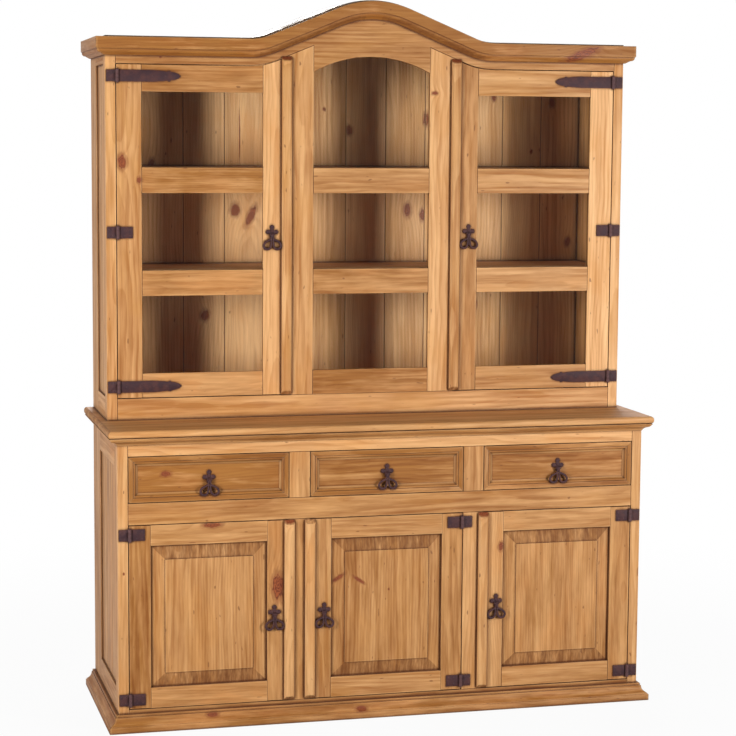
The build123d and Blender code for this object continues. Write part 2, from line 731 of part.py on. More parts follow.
def fixed_leaf(reach):
    """Leaf on the frame, with the two outer knuckles and the pin."""
    with BuildPart() as leaf:
        board((0, reach), leaf_y, (-LEAF_HEIGHT / 2, LEAF_HEIGHT / 2))
        board((-1, knuckle_clearance), grown(leaf_y, 1), middle_knuckle, Mode.SUBTRACT)
        for z in (lower_knuckle, upper_knuckle):
            barrel(z, BARREL_RADIUS, BARREL_FLATS)
        barrel((-half_barrel, half_barrel), PIN_RADIUS, PIN_FLATS)
    return leaf.part


def leaf_outline(strap):
    """Outline of a door leaf from the hinge axis outwards: a plain leaf, or a strap with a spear point."""
    half = LEAF_HEIGHT / 2
    neck = STRAP_LENGTH * 0.78
    cusp = STRAP_LENGTH * 0.82
    tip = STRAP_LENGTH * 0.9
    with BuildSketch() as outline:
        if strap:
            with BuildLine():
                Polyline(
                    (0, 0),
                    (0, half),
                    (neck * 0.72, half),
                    (neck * 0.94, half * 0.86),
                    (neck, half * 0.76),
                    (cusp, half * 0.98),
                    (cusp + 4, half * 0.74),
                    (tip, half * 0.64),
                    (STRAP_LENGTH * 0.96, half * 0.4),
                    (STRAP_LENGTH, 0),
                    close=True,
                )
            make_face()
            mirror(about=Plane.XZ)
        else:
            with Locations((DOOR_LEAF / 2, 0)):
                Rectangle(DOOR_LEAF, LEAF_HEIGHT)
    return outline.sketch_local


def door_leaf(strap):
    """Leaf on the door, with the middle knuckle."""
    own = grown(middle_knuckle, -IRON_GAP)
    with BuildPart() as leaf:
        with BuildSketch(facing(AXIS_REACH)):
            add(leaf_outline(strap))
        extrude(amount=LEAF)
        for z in (lower_knuckle, upper_knuckle):
            board((-1, knuckle_clearance), grown(leaf_y, 1), grown(z, IRON_GAP), Mode.SUBTRACT)
        barrel(own, BARREL_RADIUS, BARREL_FLATS)
        barrel(grown(own, 1), PIN_RADIUS + PIN_CLEARANCE, PIN_FLATS, Mode.SUBTRACT)
    return leaf.part


def placed(leaves):
    """One piece out of several leaves, each given as (leaf, side it points to, axis x, face y, level)."""
    solids = []
    for leaf, side, x, face_y, level in leaves:
        handed = leaf if side > 0 else leaf.mirror(Plane.YZ)
        solids += (Pos(x, face_y - AXIS_REACH, level) * handed).solids()
    return Compound(solids)


base_hinge_levels = (DOOR_Z[0] + BASE_HINGE_INSET, DOOR_Z[1] - BASE_HINGE_INSET)
hutch_hinge_levels = (
    HUTCH_DOOR_Z + HUTCH_HINGE_INSET,
    HUTCH_DOOR_Z + MIDDLE_HINGE_LIFT,
    FASCIA_EDGE - HUTCH_HINGE_INSET,
)
PLAIN_LEAF = door_leaf(strap=False)
STRAP_LEAF = door_leaf(strap=True)
FRAME_LEAF = fixed_leaf(POST_WIDTH - POST_LEAF_MARGIN + PIN_INSET)

frame_leaves = [(FRAME_LEAF, 1, BAY_X - PIN_INSET, FRONT, level) for level in base_hinge_levels]
for side in (-1, 1):
    axis_x = side * (POST_X - PIN_INSET)
    frame_leaves += [(FRAME_LEAF, side, axis_x, FRONT, level) for level in base_hinge_levels]
    frame_leaves += [(FRAME_LEAF, side, axis_x, HUTCH_FRONT, level) for level in hutch_hinge_levels]
save(placed(frame_leaves), "frame_hinge_leaves")


def rod(x, radius, flats, mode=Mode.ADD):
    """A bar or bore on the X axis."""
    forged(Plane(origin=(sum(x) / 2, 0, 0), z_dir=(1, 0, 0)), x[1] - x[0], radius, flats, mode)


def pull_plate(reach):
    """Leaf-shaped plate with two ears that carry the pin of its drop. The pin lies on the X axis."""
    back = reach + PLATE
    half_outline = [
        (0, -PLATE_FALL),
        (PLATE_LOBE * 0.24, -PLATE_FALL * 0.85),
        (PLATE_LOBE * 0.42, -PLATE_FALL * 0.3),
        (PLATE_LOBE * 0.72, -PLATE_FALL * 0.05),
        (PLATE_LOBE, PLATE_RISE * 0.14),
        (PLATE_LOBE, PLATE_RISE * 0.34),
        (PLATE_LOBE * 0.72, PLATE_RISE * 0.48),
        (PLATE_LOBE * 0.34, PLATE_RISE * 0.52),
        (PLATE_LOBE * 0.44, PLATE_RISE * 0.72),
        (PLATE_LOBE * 0.24, PLATE_RISE * 0.9),
        (0, PLATE_RISE),
    ]
    with BuildPart() as plate:
        with BuildSketch(facing(back)):
            with BuildLine():
                Polyline(*half_outline, close=True)
            make_face()
            mirror(about=Plane.YZ)
        extrude(amount=PLATE)
        chamfer(plate.faces().sort_by(Axis.Y)[0].edges(), length=PLATE_BEVEL)
        inner = PULL_EYE_WIDTH / 2 + IRON_GAP
        for side in (-1, 1):
            ear_x = span(side, inner, inner + PULL_EAR)
            board(ear_x, (0, reach), (-PULL_EAR_RADIUS, PULL_EAR_RADIUS))
            rod(ear_x, PULL_EAR_RADIUS, BARREL_FLATS)
        rod((-inner - PULL_EAR, inner + PULL_EAR), PULL_PIN_RADIUS, PIN_FLATS)
    return plate.part


def teardrop(radius, tip, tip_radius):
    """Forged loop drawn out to a narrow tip."""
    with BuildSketch() as drop:
        with Locations((DROP_LOOP_REACH, -DROP_LOOP_FALL)):
            RegularPolygon(radius, DROP_FLATS)
        with Locations(tip):
            RegularPolygon(tip_radius, DROP_FLATS // 2)
        make_hull()
    return drop.sketch_local


def pull_drop():
    """Hanging drop: an eye on the pin, a short stem and two open loops side by side."""
    crotch = -DROP_LOOP_FALL + DROP_LOOP_RADIUS
    with BuildPart() as drop:
        with BuildSketch(facing(0)):
            add(teardrop(DROP_LOOP_RADIUS, (DROP_STEM, crotch * 0.6), DROP_STEM))
            add(teardrop(DROP_LOOP_HOLE, (DROP_LOOP_REACH / 2, crotch * 1.15), 1), mode=Mode.SUBTRACT)
            mirror(about=Plane.YZ)
            with Locations((0, crotch / 2)):
                Rectangle(2 * DROP_STEM, -crotch)
        extrude(amount=DROP_THICKNESS / 2, both=True)
        eye_x = (-PULL_EYE_WIDTH / 2, PULL_EYE_WIDTH / 2)
        rod(eye_x, PULL_EYE_RADIUS, PIN_FLATS)
        rod(grown(eye_x, 1), PULL_PIN_RADIUS + PIN_CLEARANCE, PIN_FLATS, Mode.SUBTRACT)
    return drop.part


PULL_PLATES = {reach: pull_plate(reach) for reach in (DOOR_PULL_REACH, DRAWER_PULL_REACH)}
PULL_DROP = pull_drop()


def save_pull(node, x, level, face_y, reach):
    """Set a plate on a face, with its drop. level is the pin's height."""
    place = Pos(x, face_y - PLATE - reach, level)
    save(place * PULL_PLATES[reach], f"{node}_pull_plate")
    save(place * PULL_DROP, f"{node}_pull_drop")


# ---------------------------------------------------------------- drawers
def front_moulding_section():
    """Flat border, bead and hollow. x goes in from the drawer front's edge, y stands out."""
    depth = FRONT_MOULDING_DEPTH
    quirk = (FRONT_MOULDING_FLAT + 0.6, depth - 1.4)
    bead_end = (FRONT_MOULDING - 6.5, depth * 0.55)
    with BuildSketch() as section:
        with BuildLine():
            Polyline((FRONT_MOULDING, 0), (0, 0), (0, depth), (FRONT_MOULDING_FLAT, depth), quirk)
            RadiusArc(quirk, bead_end, 4.6)
            RadiusArc(bead_end, (FRONT_MOULDING, 0.6), -9)
            Line((FRONT_MOULDING, 0.6), (FRONT_MOULDING, 0))
        make_face()
    return section.sketch_local


def drawer_front(x, z):
    """Front board with four mitred mouldings planted on its face."""
    face_y = FRONT + FRONT_MOULDING_DEPTH
    kerf = 4 * FRONT_MOULDING
    middle = sum(x) / 2
    with BuildPart() as mouldings:
        with BuildLine() as path:
            Polyline(
                (middle, face_y, z[0]),
                (x[1], face_y, z[0]),
                (x[1], face_y, z[1]),
                (x[0], face_y, z[1]),
                (x[0], face_y, z[0]),
                (middle, face_y, z[0]),
            )
        with BuildSketch(Plane(origin=(middle, face_y, z[0]), x_dir=(0, 0, 1), z_dir=(1, 0, 0))):
            add(front_moulding_section())
        sweep(path=path.wires()[0], transition=Transition.RIGHT)
        for corner_x, corner_z, turn in (
            (x[0], z[0], -45),
            (x[1], z[0], 45),
            (x[0], z[1], 45),
            (x[1], z[1], -45),
        ):
            with Locations(Location((corner_x, face_y, corner_z), (0, turn, 0))):
                Box(kerf, 4 * FRONT_MOULDING_DEPTH, JOINT, mode=Mode.SUBTRACT)
    with BuildPart() as front:
        add(mouldings.part)
        board(x, (face_y + JOINT, FRONT + STOCK), z)
    return front.part


def drawer_box(x, z):
    """Box of four sides round a bottom that lies in grooves."""
    y = (FRONT + STOCK + JOINT, drawer_back)
    side = DRAWER_SIDE
    inner_x = grown(x, -side)
    inner_y = (y[0] + side, y[1] - side)
    bottom_z = (z[0] + DRAWER_BOTTOM_LIFT, z[0] + DRAWER_BOTTOM_LIFT + DRAWER_BOTTOM)
    groove = DRAWER_GROOVE
    with BuildPart() as box:
        board((x[0], inner_x[0]), y, z)
        board((inner_x[1], x[1]), y, z)
        board(grown(inner_x, -JOINT), (y[0], inner_y[0]), z)
        board(grown(inner_x, -JOINT), (inner_y[1], y[1]), z)
        board(grown(inner_x, groove), grown(inner_y, groove), grown(bottom_z, JOINT / 2), Mode.SUBTRACT)
        board(grown(inner_x, groove - JOINT), grown(inner_y, groove - JOINT), bottom_z)
    return box.part


for node, opening in (
    ("left_drawer", (-POST_X, -MULLION_X)),
    ("centre_drawer", (-BAY_X, BAY_X)),
    ("right_drawer", (MULLION_X, POST_X)),
):
    box_z = (DRAWER_Z[0] + SLIDE_GAP, DRAWER_Z[1] - DRAWER_HEADROOM)
    save(drawer_front(grown(opening, -FIT_GAP), grown(DRAWER_Z, -FIT_GAP)), f"{node}_front")
    save(drawer_box(grown(opening, -DRAWER_SIDE_GAP), box_z), f"{node}_box")
    pull_y = FRONT + FRONT_MOULDING_DEPTH + JOINT
    save_pull(node, sum(opening) / 2, DRAWER_Z[0] + DRAWER_PULL_LIFT, pull_y, DRAWER_PULL_REACH)


# ---------------------------------------------------------------- doors
def astragal(free_x, inward, face_y, z):
    """Closing strip on a door's free edge. inward points from that edge to the door's hinges."""
    edge = free_x - inward * ASTRAGAL_LAP
    x = tuple(sorted((edge, edge + inward * ASTRAGAL)))
    y = (face_y - ASTRAGAL_DEPTH, face_y)
    with BuildPart() as strip:
        board(x, y, z)
        front = strip.faces().sort_by(Axis.Y)[0]
        chamfer(front.edges().filter_by(Axis.Z), length=ASTRAGAL_BEVEL)
        chamfer(strip.faces().sort_by(Axis.Y)[0].edges().filter_by(Axis.X), length=ASTRAGAL_END_BEVEL)
        lap = tuple(sorted((edge - inward, free_x)))
        board(lap, (face_y - ASTRAGAL_CLEARANCE, face_y + 1), grown(z, 1), Mode.SUBTRACT)
    return strip.part


def panelled_door_frame(x, z):
    """Two stiles and two rails, grooved for a panel."""
    y = (FRONT, FRONT + STOCK)
    cheeks = (FRONT + PANEL_CHEEK, FRONT + PANEL_CHEEK + PANEL_TONGUE)
    groove_y = grown(cheeks, JOINT / 2)
    inner_x = grown(x, -BASE_DOOR_STILE)
    inner_z = grown(z, -BASE_DOOR_RAIL)
    with BuildPart() as frame:
        board((x[0], inner_x[0]), y, z)
        board((inner_x[1], x[1]), y, z)
        board(grown(inner_x, PANEL_GROOVE), groove_y, z, Mode.SUBTRACT)
        tenoned_rail(inner_x, y, (z[0], inner_z[0]), cheeks)
        tenoned_rail(inner_x, y, (inner_z[1], z[1]), cheeks)
        board(grown(inner_x, PANEL_GROOVE), groove_y, grown(inner_z, PANEL_GROOVE), Mode.SUBTRACT)
    return frame.part


def bevelled_block(x, y, z, bevel):
    """A block that narrows by bevel on all four sides towards its front."""
    with BuildPart() as block:
        with BuildSketch(Plane.XY.offset(z[0])):
            with BuildLine():
                Polyline(
                    (x[0], y[1]), (x[1], y[1]), (x[1] - bevel, y[0]), (x[0] + bevel, y[0]), close=True
                )
            make_face()
        extrude(amount=z[1] - z[0])
        with BuildSketch(Plane.YZ.offset(x[0])):
            with BuildLine():
                Polyline(
                    (y[1], z[0]), (y[1], z[1]), (y[0], z[1] - bevel), (y[0], z[0] + bevel), close=True
                )
            make_face()
        extrude(amount=x[1] - x[0], mode=Mode.INTERSECT)
    return block.part


def raised_panel(x, z):
    """Panel with a raised field, bevelled on four sides down to the tongue in the frame's groove."""
    inner_x = grown(x, -BASE_DOOR_STILE)
    inner_z = grown(z, -BASE_DOOR_RAIL)
    tongue_y = (FRONT + PANEL_CHEEK, FRONT + PANEL_CHEEK + PANEL_TONGUE)
    step_y = FRONT + PANEL_SINK + PANEL_STEP
    field_y = FRONT + PANEL_SINK
    fit = PANEL_GROOVE - 2 * JOINT
    with BuildPart() as panel:
        board(grown(inner_x, fit), tongue_y, grown(inner_z, fit))
        add(
            bevelled_block(
                grown(inner_x, -JOINT), (step_y, tongue_y[0]), grown(inner_z, -JOINT), PANEL_BEVEL - JOINT
            )
        )
        board(grown(inner_x, -PANEL_BEVEL), (field_y, step_y), grown(inner_z, -PANEL_BEVEL))
    return panel.part


def base_door(node, hinge_x, free_x, pull_x):
    """Save the six nodes of a panelled door between two edges of its opening."""
    away = 1 if free_x > hinge_x else -1
    x = grown(tuple(sorted((hinge_x, free_x))), -FIT_GAP)
    z = grown(DOOR_Z, -FIT_GAP)
    save(panelled_door_frame(x, z), f"{node}_frame")
    save(raised_panel(x, z), f"{node}_panel")
    save(astragal(free_x - away * FIT_GAP, -away, FRONT, z), f"{node}_astragal")
    axis_x = hinge_x + away * PIN_INSET
    leaves = [(PLAIN_LEAF, away, axis_x, FRONT, level) for level in base_hinge_levels]
    save(placed(leaves), f"{node}_hinge_leaves")
    save_pull(node, pull_x, DOOR_Z[0] + BASE_PULL_LIFT, FRONT, DOOR_PULL_REACH)


base_door("base_left_door", -POST_X, -MULLION_X, -BASE_PULL_X)
base_door("base_centre_door", BAY_X, -BAY_X, CENTRE_PULL_X)
base_door("base_right_door", POST_X, MULLION_X, BASE_PULL_X)


def glazed_door_frame(side):
    """Two stiles, four rails and the beads; the top follows the fascia."""
    bottom = HUTCH_DOOR_Z + FIT_GAP
    outer = POST_X - FIT_GAP
    inner = WINDOW_X + FIT_GAP
    panes_x = span(side, inner + HUTCH_INNER_STILE, outer - HUTCH_DOOR_STILE)
    levels = pane_levels()
    with BuildPart() as frame:
        board(span(side, outer - HUTCH_DOOR_STILE, outer), hutch_face, (bottom, ABOVE))
        board(span(side, inner, inner + HUTCH_INNER_STILE), hutch_face, (bottom, ABOVE))
        tenoned_rail(panes_x, hutch_face, (bottom, levels[0][0]), hutch_cheeks)
        for below, over in zip(levels, levels[1:]):
            tenoned_rail(panes_x, hutch_face, (below[1], over[0]), hutch_cheeks)
        tenoned_rail(panes_x, hutch_face, (levels[2][1], FASCIA_EDGE - FIT_GAP), hutch_cheeks)
        board(grown(panes_x, -JOINT), hutch_face, (FASCIA_EDGE - FIT_GAP, ABOVE))
        with BuildSketch(facing(HUTCH_FRONT + STOCK)):
            add(under_arch(FASCIA_DROP + FIT_GAP, HALF, HUTCH_DOOR_Z))
        extrude(amount=STOCK, mode=Mode.INTERSECT)
        for z in levels:
            rebate(panes_x, z)
        for z in levels:
            beads(panes_x, z)
    return frame.part


def door_glass(side):
    """Three panes in the rebates of a glazed door."""
    panes_x = span(side, WINDOW_X + FIT_GAP + HUTCH_INNER_STILE, POST_X - FIT_GAP - HUTCH_DOOR_STILE)
    with BuildPart() as panes:
        for z in pane_levels():
            board(grown(panes_x, REBATE - JOINT), glass_y, grown(z, REBATE - JOINT))
    return panes.part


def hutch_door(node, side):
    """Save the six nodes of a glazed door on one side of the hutch."""
    strip_z = (HUTCH_DOOR_Z + FIT_GAP, FASCIA_EDGE + ASTRAGAL_CLIMB)
    save(glazed_door_frame(side), f"{node}_frame")
    save(door_glass(side), f"{node}_glass")
    save(astragal(side * (WINDOW_X + FIT_GAP), side, HUTCH_FRONT, strip_z), f"{node}_astragal")
    leaves = [
        (leaf, -side, side * (POST_X - PIN_INSET), HUTCH_FRONT, level)
        for leaf, level in zip((STRAP_LEAF, PLAIN_LEAF, STRAP_LEAF), hutch_hinge_levels)
    ]
    save(placed(leaves), f"{node}_hinge_leaves")
    save_pull(node, side * HUTCH_PULL_X, HUTCH_DOOR_Z + HUTCH_PULL_LIFT, HUTCH_FRONT, DOOR_PULL_REACH)


hutch_door("hutch_left_door", -1)
hutch_door("hutch_right_door", 1)
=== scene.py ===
"""Finishes, forged ironwork, glass, light and camera for a waxed pine trastero cabinet.

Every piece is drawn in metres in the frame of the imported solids: X along the front, Y to the
back, Z up. A board keeps its own grain, so its fields are measured from the board itself.
"""
import json
import math
import random

import bmesh
import bpy
from mathutils import Matrix, Vector

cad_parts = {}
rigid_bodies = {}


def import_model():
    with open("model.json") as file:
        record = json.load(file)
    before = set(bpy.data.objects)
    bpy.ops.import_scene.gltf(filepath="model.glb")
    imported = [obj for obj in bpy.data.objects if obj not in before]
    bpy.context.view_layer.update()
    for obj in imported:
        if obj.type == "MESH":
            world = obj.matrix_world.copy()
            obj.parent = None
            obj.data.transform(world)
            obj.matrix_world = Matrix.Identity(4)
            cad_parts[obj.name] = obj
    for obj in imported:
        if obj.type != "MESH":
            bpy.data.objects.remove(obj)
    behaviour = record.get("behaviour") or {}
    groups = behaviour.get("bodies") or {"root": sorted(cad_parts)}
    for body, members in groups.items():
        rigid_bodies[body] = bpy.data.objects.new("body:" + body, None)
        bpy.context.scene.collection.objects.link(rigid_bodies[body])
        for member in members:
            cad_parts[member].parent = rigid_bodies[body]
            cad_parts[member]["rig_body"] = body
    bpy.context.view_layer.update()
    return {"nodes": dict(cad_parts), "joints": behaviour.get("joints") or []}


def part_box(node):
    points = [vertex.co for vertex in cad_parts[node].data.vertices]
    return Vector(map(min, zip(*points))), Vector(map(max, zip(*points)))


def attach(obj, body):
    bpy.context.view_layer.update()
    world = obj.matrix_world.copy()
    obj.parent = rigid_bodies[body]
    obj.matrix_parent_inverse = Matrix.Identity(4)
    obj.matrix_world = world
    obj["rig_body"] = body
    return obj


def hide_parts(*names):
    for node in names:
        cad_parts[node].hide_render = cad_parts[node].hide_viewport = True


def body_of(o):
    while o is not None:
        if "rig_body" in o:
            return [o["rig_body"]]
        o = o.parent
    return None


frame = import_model()
nodes = frame["nodes"]
AXES = range(3)
MM = 0.001
WELD = 0.01 * MM  # points nearer to each other than this are one point
SQUARE = ((-1, -1), (1, -1), (1, 1), (-1, 1))  # its corners, in order


# ------------------------------------------------------------------ shader arithmetic
class Field:
    """A value that varies over a surface. Arithmetic on it adds the maths nodes."""

    def __init__(self, wiring, output):
        self.wiring = wiring
        self.output = output

    def maths(self, operation, *others):
        """A Math node on this value and others."""
        terms = dict(enumerate((self, *others)))
        return self.wiring.node("ShaderNodeMath", {"operation": operation}, terms)

    def __add__(self, other):
        return self.maths("ADD", other)

    def __sub__(self, other):
        return self.maths("SUBTRACT", other)

    def __mul__(self, other):
        return self.maths("MULTIPLY", other)

    def __truediv__(self, other):
        return self.maths("DIVIDE", other)

    def __pow__(self, other):
        return self.maths("POWER", other)

    def __rsub__(self, other):
        return self * -1 + other

    def __rtruediv__(self, other):
        return self.maths("POWER", -1) * other

    __radd__ = __add__
    __rmul__ = __mul__

    def rise(self, low, high):
        """0 below low, 1 above high and a smooth step between them."""
        settings = {"interpolation_type": "SMOOTHSTEP"}
        values = {"Value": self, "From Min": low, "From Max": high}
        return self.wiring.node("ShaderNodeMapRange", settings, values)

    def near(self, middle, reach):
        """1 at a middle value and 0 further from it than reach."""
        return 1 - (self - middle).maths("ABSOLUTE").rise(0, reach)

    def parts(self):
        """The three numbers of a vector."""
        split = self.wiring.node("ShaderNodeSeparateXYZ", {}, {0: self})
        return [Field(self.wiring, output) for output in split.output.node.outputs]


def length(*terms):
    """The length of a vector, from its numbers."""
    return sum(term * term for term in terms).maths("SQRT")


def paint(red, green, blue):
    """A colour written from 0 to 255 on a screen, as the light it stands for."""
    return tuple(((part / 255 + 0.055) / 1.055) ** 2.4 for part in (red, green, blue)) + (1,)


class Wiring:
    """The nodes of a finish or of the studio. One method makes every node that isn't arithmetic."""

    def __init__(self, tree):
        self.tree = tree

    def node(self, kind, settings, values, output=0):
        """A node with its settings, the values or links of its sockets, and one of its outputs."""
        made = self.tree.nodes.new(kind)
        for name, value in settings.items():
            setattr(made, name, value)
        for socket, value in values.items():
            if isinstance(value, Field):
                self.tree.links.new(value.output, made.inputs[socket])
            else:
                made.inputs[socket].default_value = value
        return Field(self, made.outputs[output])

    def attribute(self, name, number=False):
        """A field of the mesh, as a vector or as a number."""
        output = "Fac" if number else "Vector"
        return self.node("ShaderNodeAttribute", {"attribute_name": name}, {}, output)

    def place(self):
        """The three numbers of a point's own place on its piece."""
        return self.node("ShaderNodeTexCoord", {}, {}, "Object").parts()

    def noise(self, place, lumps, detail=2.0, roughness=0.5):
        """Soft noise round 0.5, with so many lumps to a metre along each axis of place."""
        spread = {axis: place[axis] * lumps[axis] for axis in AXES}
        vector = self.node("ShaderNodeCombineXYZ", {}, spread)
        values = {"Vector": vector, "Scale": 1.0, "Detail": detail, "Roughness": roughness}
        return self.node("ShaderNodeTexNoise", {}, values)

    def mix(self, share, first, second, blend="MIX"):
        """A colour between two others. Sockets 6 and 7 and output 2 are the node's colours."""
        settings = {"data_type": "RGBA", "blend_type": blend}
        return self.node("ShaderNodeMix", settings, {0: share, 6: first, 7: second}, 2)

    def crevice(self, reach, inside=False):
        """1 in the open and less where a surface within reach shades it."""
        settings = {"samples": 5, "inside": inside}
        return self.node("ShaderNodeAmbientOcclusion", settings, {"Distance": reach}, "AO")

    def seen(self):
        """1 for a surface seen straight, in a mirror or through glass, 0 where it only lights."""
        ways = ("Is Camera Ray", "Is Glossy Ray", "Is Transmission Ray")
        straight, mirrored, through = [
            self.node("ShaderNodeLightPath", {}, {}, way) for way in ways
        ]
        return straight.maths("MAXIMUM", mirrored).maths("MAXIMUM", through)


class Finish(Wiring):
    """A material with the standard shader, whose constants are set on its own sockets."""

    def __init__(self, name, **constants):
        self.material = bpy.data.materials.new(name)
        self.material.use_nodes = True
        super().__init__(self.material.node_tree)
        self.shader = self.tree.nodes["Principled BSDF"]
        for socket, value in constants.items():
            self.shader.inputs[socket.replace("_", " ")].default_value = value

    def feed(self, **fields):
        """Links fields to sockets of the standard shader."""
        for socket, value in fields.items():
            self.tree.links.new(value.output, self.shader.inputs[socket.replace("_", " ")])

    def relief(self, height, depth):
        """Height from 0 to 1 as a bump of depth metres."""
        bump = self.node("ShaderNodeBump", {}, {"Height": height, "Distance": depth})
        self.feed(Normal=bump)

    def surface(self, share, first, second):
        """Shows a mix of two shaders."""
        blend = self.node("ShaderNodeMixShader", {}, {0: share, 1: first, 2: second})
        self.tree.links.new(blend.output, self.tree.nodes["Material Output"].inputs["Surface"])


# ------------------------------------------------------------------ finishes
KNOTS_PER_BOARD = 3
# The same colour also darkens boards where their depth holds painted shade.
STAIN_AND_SHADE_COAT = (0.42, 0.30, 0.14, 1)  # what a full coat of the stain lets through
HONEY = paint(214, 138, 60), paint(196, 140, 68)  # the wax's gold on a light and on a dark board
SOAKED_ENDS = paint(112, 66, 32)
NICKS = paint(104, 58, 30)
KNOT_WOOD = paint(152, 80, 42), paint(98, 44, 26)
KNOT_RIM = paint(122, 62, 32)
# antique glaze with painted shade, for wood near other surfaces
GLAZE_AND_SHADE = paint(92, 50, 26)
# painted shade in creases, seams and steps
SEAM_SHADE = paint(80, 40, 20)
WORN_EDGE = paint(250, 208, 150)
GREY_WOOD = paint(142, 122, 100)


def pine(name, pale, deep, raw=0.0):
    """Waxed pine: growth rings of a log along the board, streaks, knots, worked-in stain, and
    painted shade in hollows, in creases and on whole boards.

    raw is the share of grey, unwaxed wood in it.
    """
    finish = Finish(name, Specular_IOR_Level=0.25)
    place = u, v, w = finish.attribute("grain").parts()
    tone = finish.attribute("tone", number=True)
    stain_and_shade = finish.attribute("stain_and_shade", number=True)
    end_grain = finish.attribute("end_grain", number=True)

    # The distance from the heart of the log, bent round the knots.
    wander = finish.noise(place, (2.2, 9, 9)) - 0.5
    ripple = finish.noise(place, (14, 60, 60)) - 0.5
    heart = length(v, w) + u * 0.012 + wander * 0.04 + ripple * 0.003
    branch = 10
    for index in range(KNOTS_PER_BOARD):
        along, across, size = finish.attribute(f"knot_{index}").parts()
        away = length(along, across)
        heart = heart + size * 1.3 / (1 + away ** 2 * 0.45)
        branch = away.maths("MINIMUM", branch)
    rough_edge = finish.noise(place, (60, 160, 160)) - 0.5
    branch = branch + rough_edge * 0.9
    knot = 1 - branch.rise(0.7, 1.05)
    knot_rim = branch.near(1.05, 0.5)
    knot_rings = (branch * 3.4).maths("FRACT").near(0.5, 0.5)

    # One growth ring is pale wood that darkens slowly and ends at a line.
    year = (heart / (0.006 + 0.005 * tone)).maths("FRACT")
    late_wood = year.rise(0.3, 0.9) * (1 - year.rise(0.93, 1.0))
    streak = finish.noise(place, (3.2, 75, 75), 3, 0.6)
    figure = finish.noise(place, (1.6, 24, 24), 2, 0.55)
    pores = finish.noise(place, (30, 700, 700), 1)
    patch = finish.noise(place, (5, 12, 12), 3, 0.6)
    smear = finish.noise(place, (7, 50, 50), 3, 0.65)
    nick = finish.noise(place, (45, 120, 120), 0)
    fibre = finish.noise(place, (20, 170, 170), 2, 0.6)
    grain = late_wood * 0.34 + streak.rise(0.36, 0.68) * 0.5 + figure.rise(0.36, 0.7) * 0.42
    grain = grain + (pores - 0.5) * 0.25

    # Wood, wax, and stain whose depth also holds painted shade.
    colour = finish.mix(grain * (0.62 + tone * 0.3) + tone * 0.1, pale, deep)
    gold = (1 - patch).rise(0.42, 0.66)
    colour = finish.mix(gold * 0.34, colour, finish.mix(tone, *HONEY))
    uneven = 1 + (smear - 0.5) + (patch - 0.5) * 1.4 + (streak - 0.5) * 0.6
    stain_and_shade_wash = stain_and_shade * uneven + (smear - 0.5) * 0.25
    # The depth on each board is stain and painted shade together.
    colour = finish.mix(stain_and_shade_wash, colour, STAIN_AND_SHADE_COAT, "MULTIPLY")
    cut = end_grain.rise(0.04, 0.17)
    soak = cut * (0.52 + (fibre - 0.5) * 1.2 + (smear - 0.5) * 1.5)
    colour = finish.mix(soak, colour, SOAKED_ENDS)

    # Knots, antique glaze with painted shade in the corners and creases, and wear on the edges.
    colour = finish.mix(nick.rise(0.8, 0.86) * 0.6, colour, NICKS)
    colour = finish.mix(knot, colour, finish.mix(knot_rings, *KNOT_WOOD))
    colour = finish.mix(knot_rim * 0.45, colour, KNOT_RIM)
    # Darkens wood near other surfaces by occlusion: partly antique glaze, partly painted shade.
    hollow = 1 - finish.crevice(22 * MM).rise(0.35, 0.98)
    colour = finish.mix(hollow * (0.4 + smear * 0.5), colour, GLAZE_AND_SHADE)
    # Darkens creases, seams and steps within a few millimetres by occlusion: painted shade.
    seam_shade = 1 - finish.crevice(7 * MM).rise(0.7, 1.0)
    colour = finish.mix(seam_shade * (0.6 + smear * 0.6), colour, SEAM_SHADE)
    edge = 1 - finish.crevice(5 * MM, inside=True).rise(0.45, 0.95)
    colour = finish.mix(edge * 0.13 * (1 - cut), colour, WORN_EDGE)
    if raw:
        colour = finish.mix(raw, colour, GREY_WOOD)
    finish.feed(Base_Color=colour, Roughness=0.46 + grain * 0.14 + cut * 0.15 + hollow * 0.2)
    finish.relief(grain * 0.5 + pores * 0.25 + patch * 1.2 - knot * 0.5, 0.5 * MM)
    return finish.material


BLACK_IRON = paint(54, 31, 36)
BROWN_BLOOM = paint(76, 44, 42)
PIT_BLACK = paint(40, 24, 26)
SOOT = paint(30, 18, 18)
BRIGHT_EDGE = paint(124, 92, 90)


def forged_iron(name):
    """Blackened iron: hammer marks, pits, a brown bloom, soot in corners and brighter edges."""
    finish = Finish(name, Metallic=0.1, Specular_IOR_Level=0.3)
    place = finish.place()
    hammer = finish.noise(place, (110, 110, 110), 1)
    pits = finish.noise(place, (700, 700, 700), 2)
    bloom = finish.noise(place, (45, 45, 45), 3, 0.6)
    colour = finish.mix(bloom.rise(0.35, 0.7), BLACK_IRON, BROWN_BLOOM)
    colour = finish.mix(pits.rise(0.55, 0.75) * 0.5, colour, PIT_BLACK)
    hollow = 1 - finish.crevice(4 * MM).rise(0.4, 0.9)
    colour = finish.mix(hollow * 0.7, colour, SOOT)
    edge = 1 - finish.crevice(1.2 * MM, inside=True).rise(0.4, 0.9)
    colour = finish.mix(edge * 0.3, colour, BRIGHT_EDGE)
    finish.feed(Base_Color=colour, Roughness=0.5 + pits * 0.2 + bloom * 0.1)
    finish.relief(hammer + pits * 0.35, 0.9 * MM)
    return finish.material


HEAD_ON_GLOSS = 0.04  # share of light that a pane sends back when it is looked at squarely


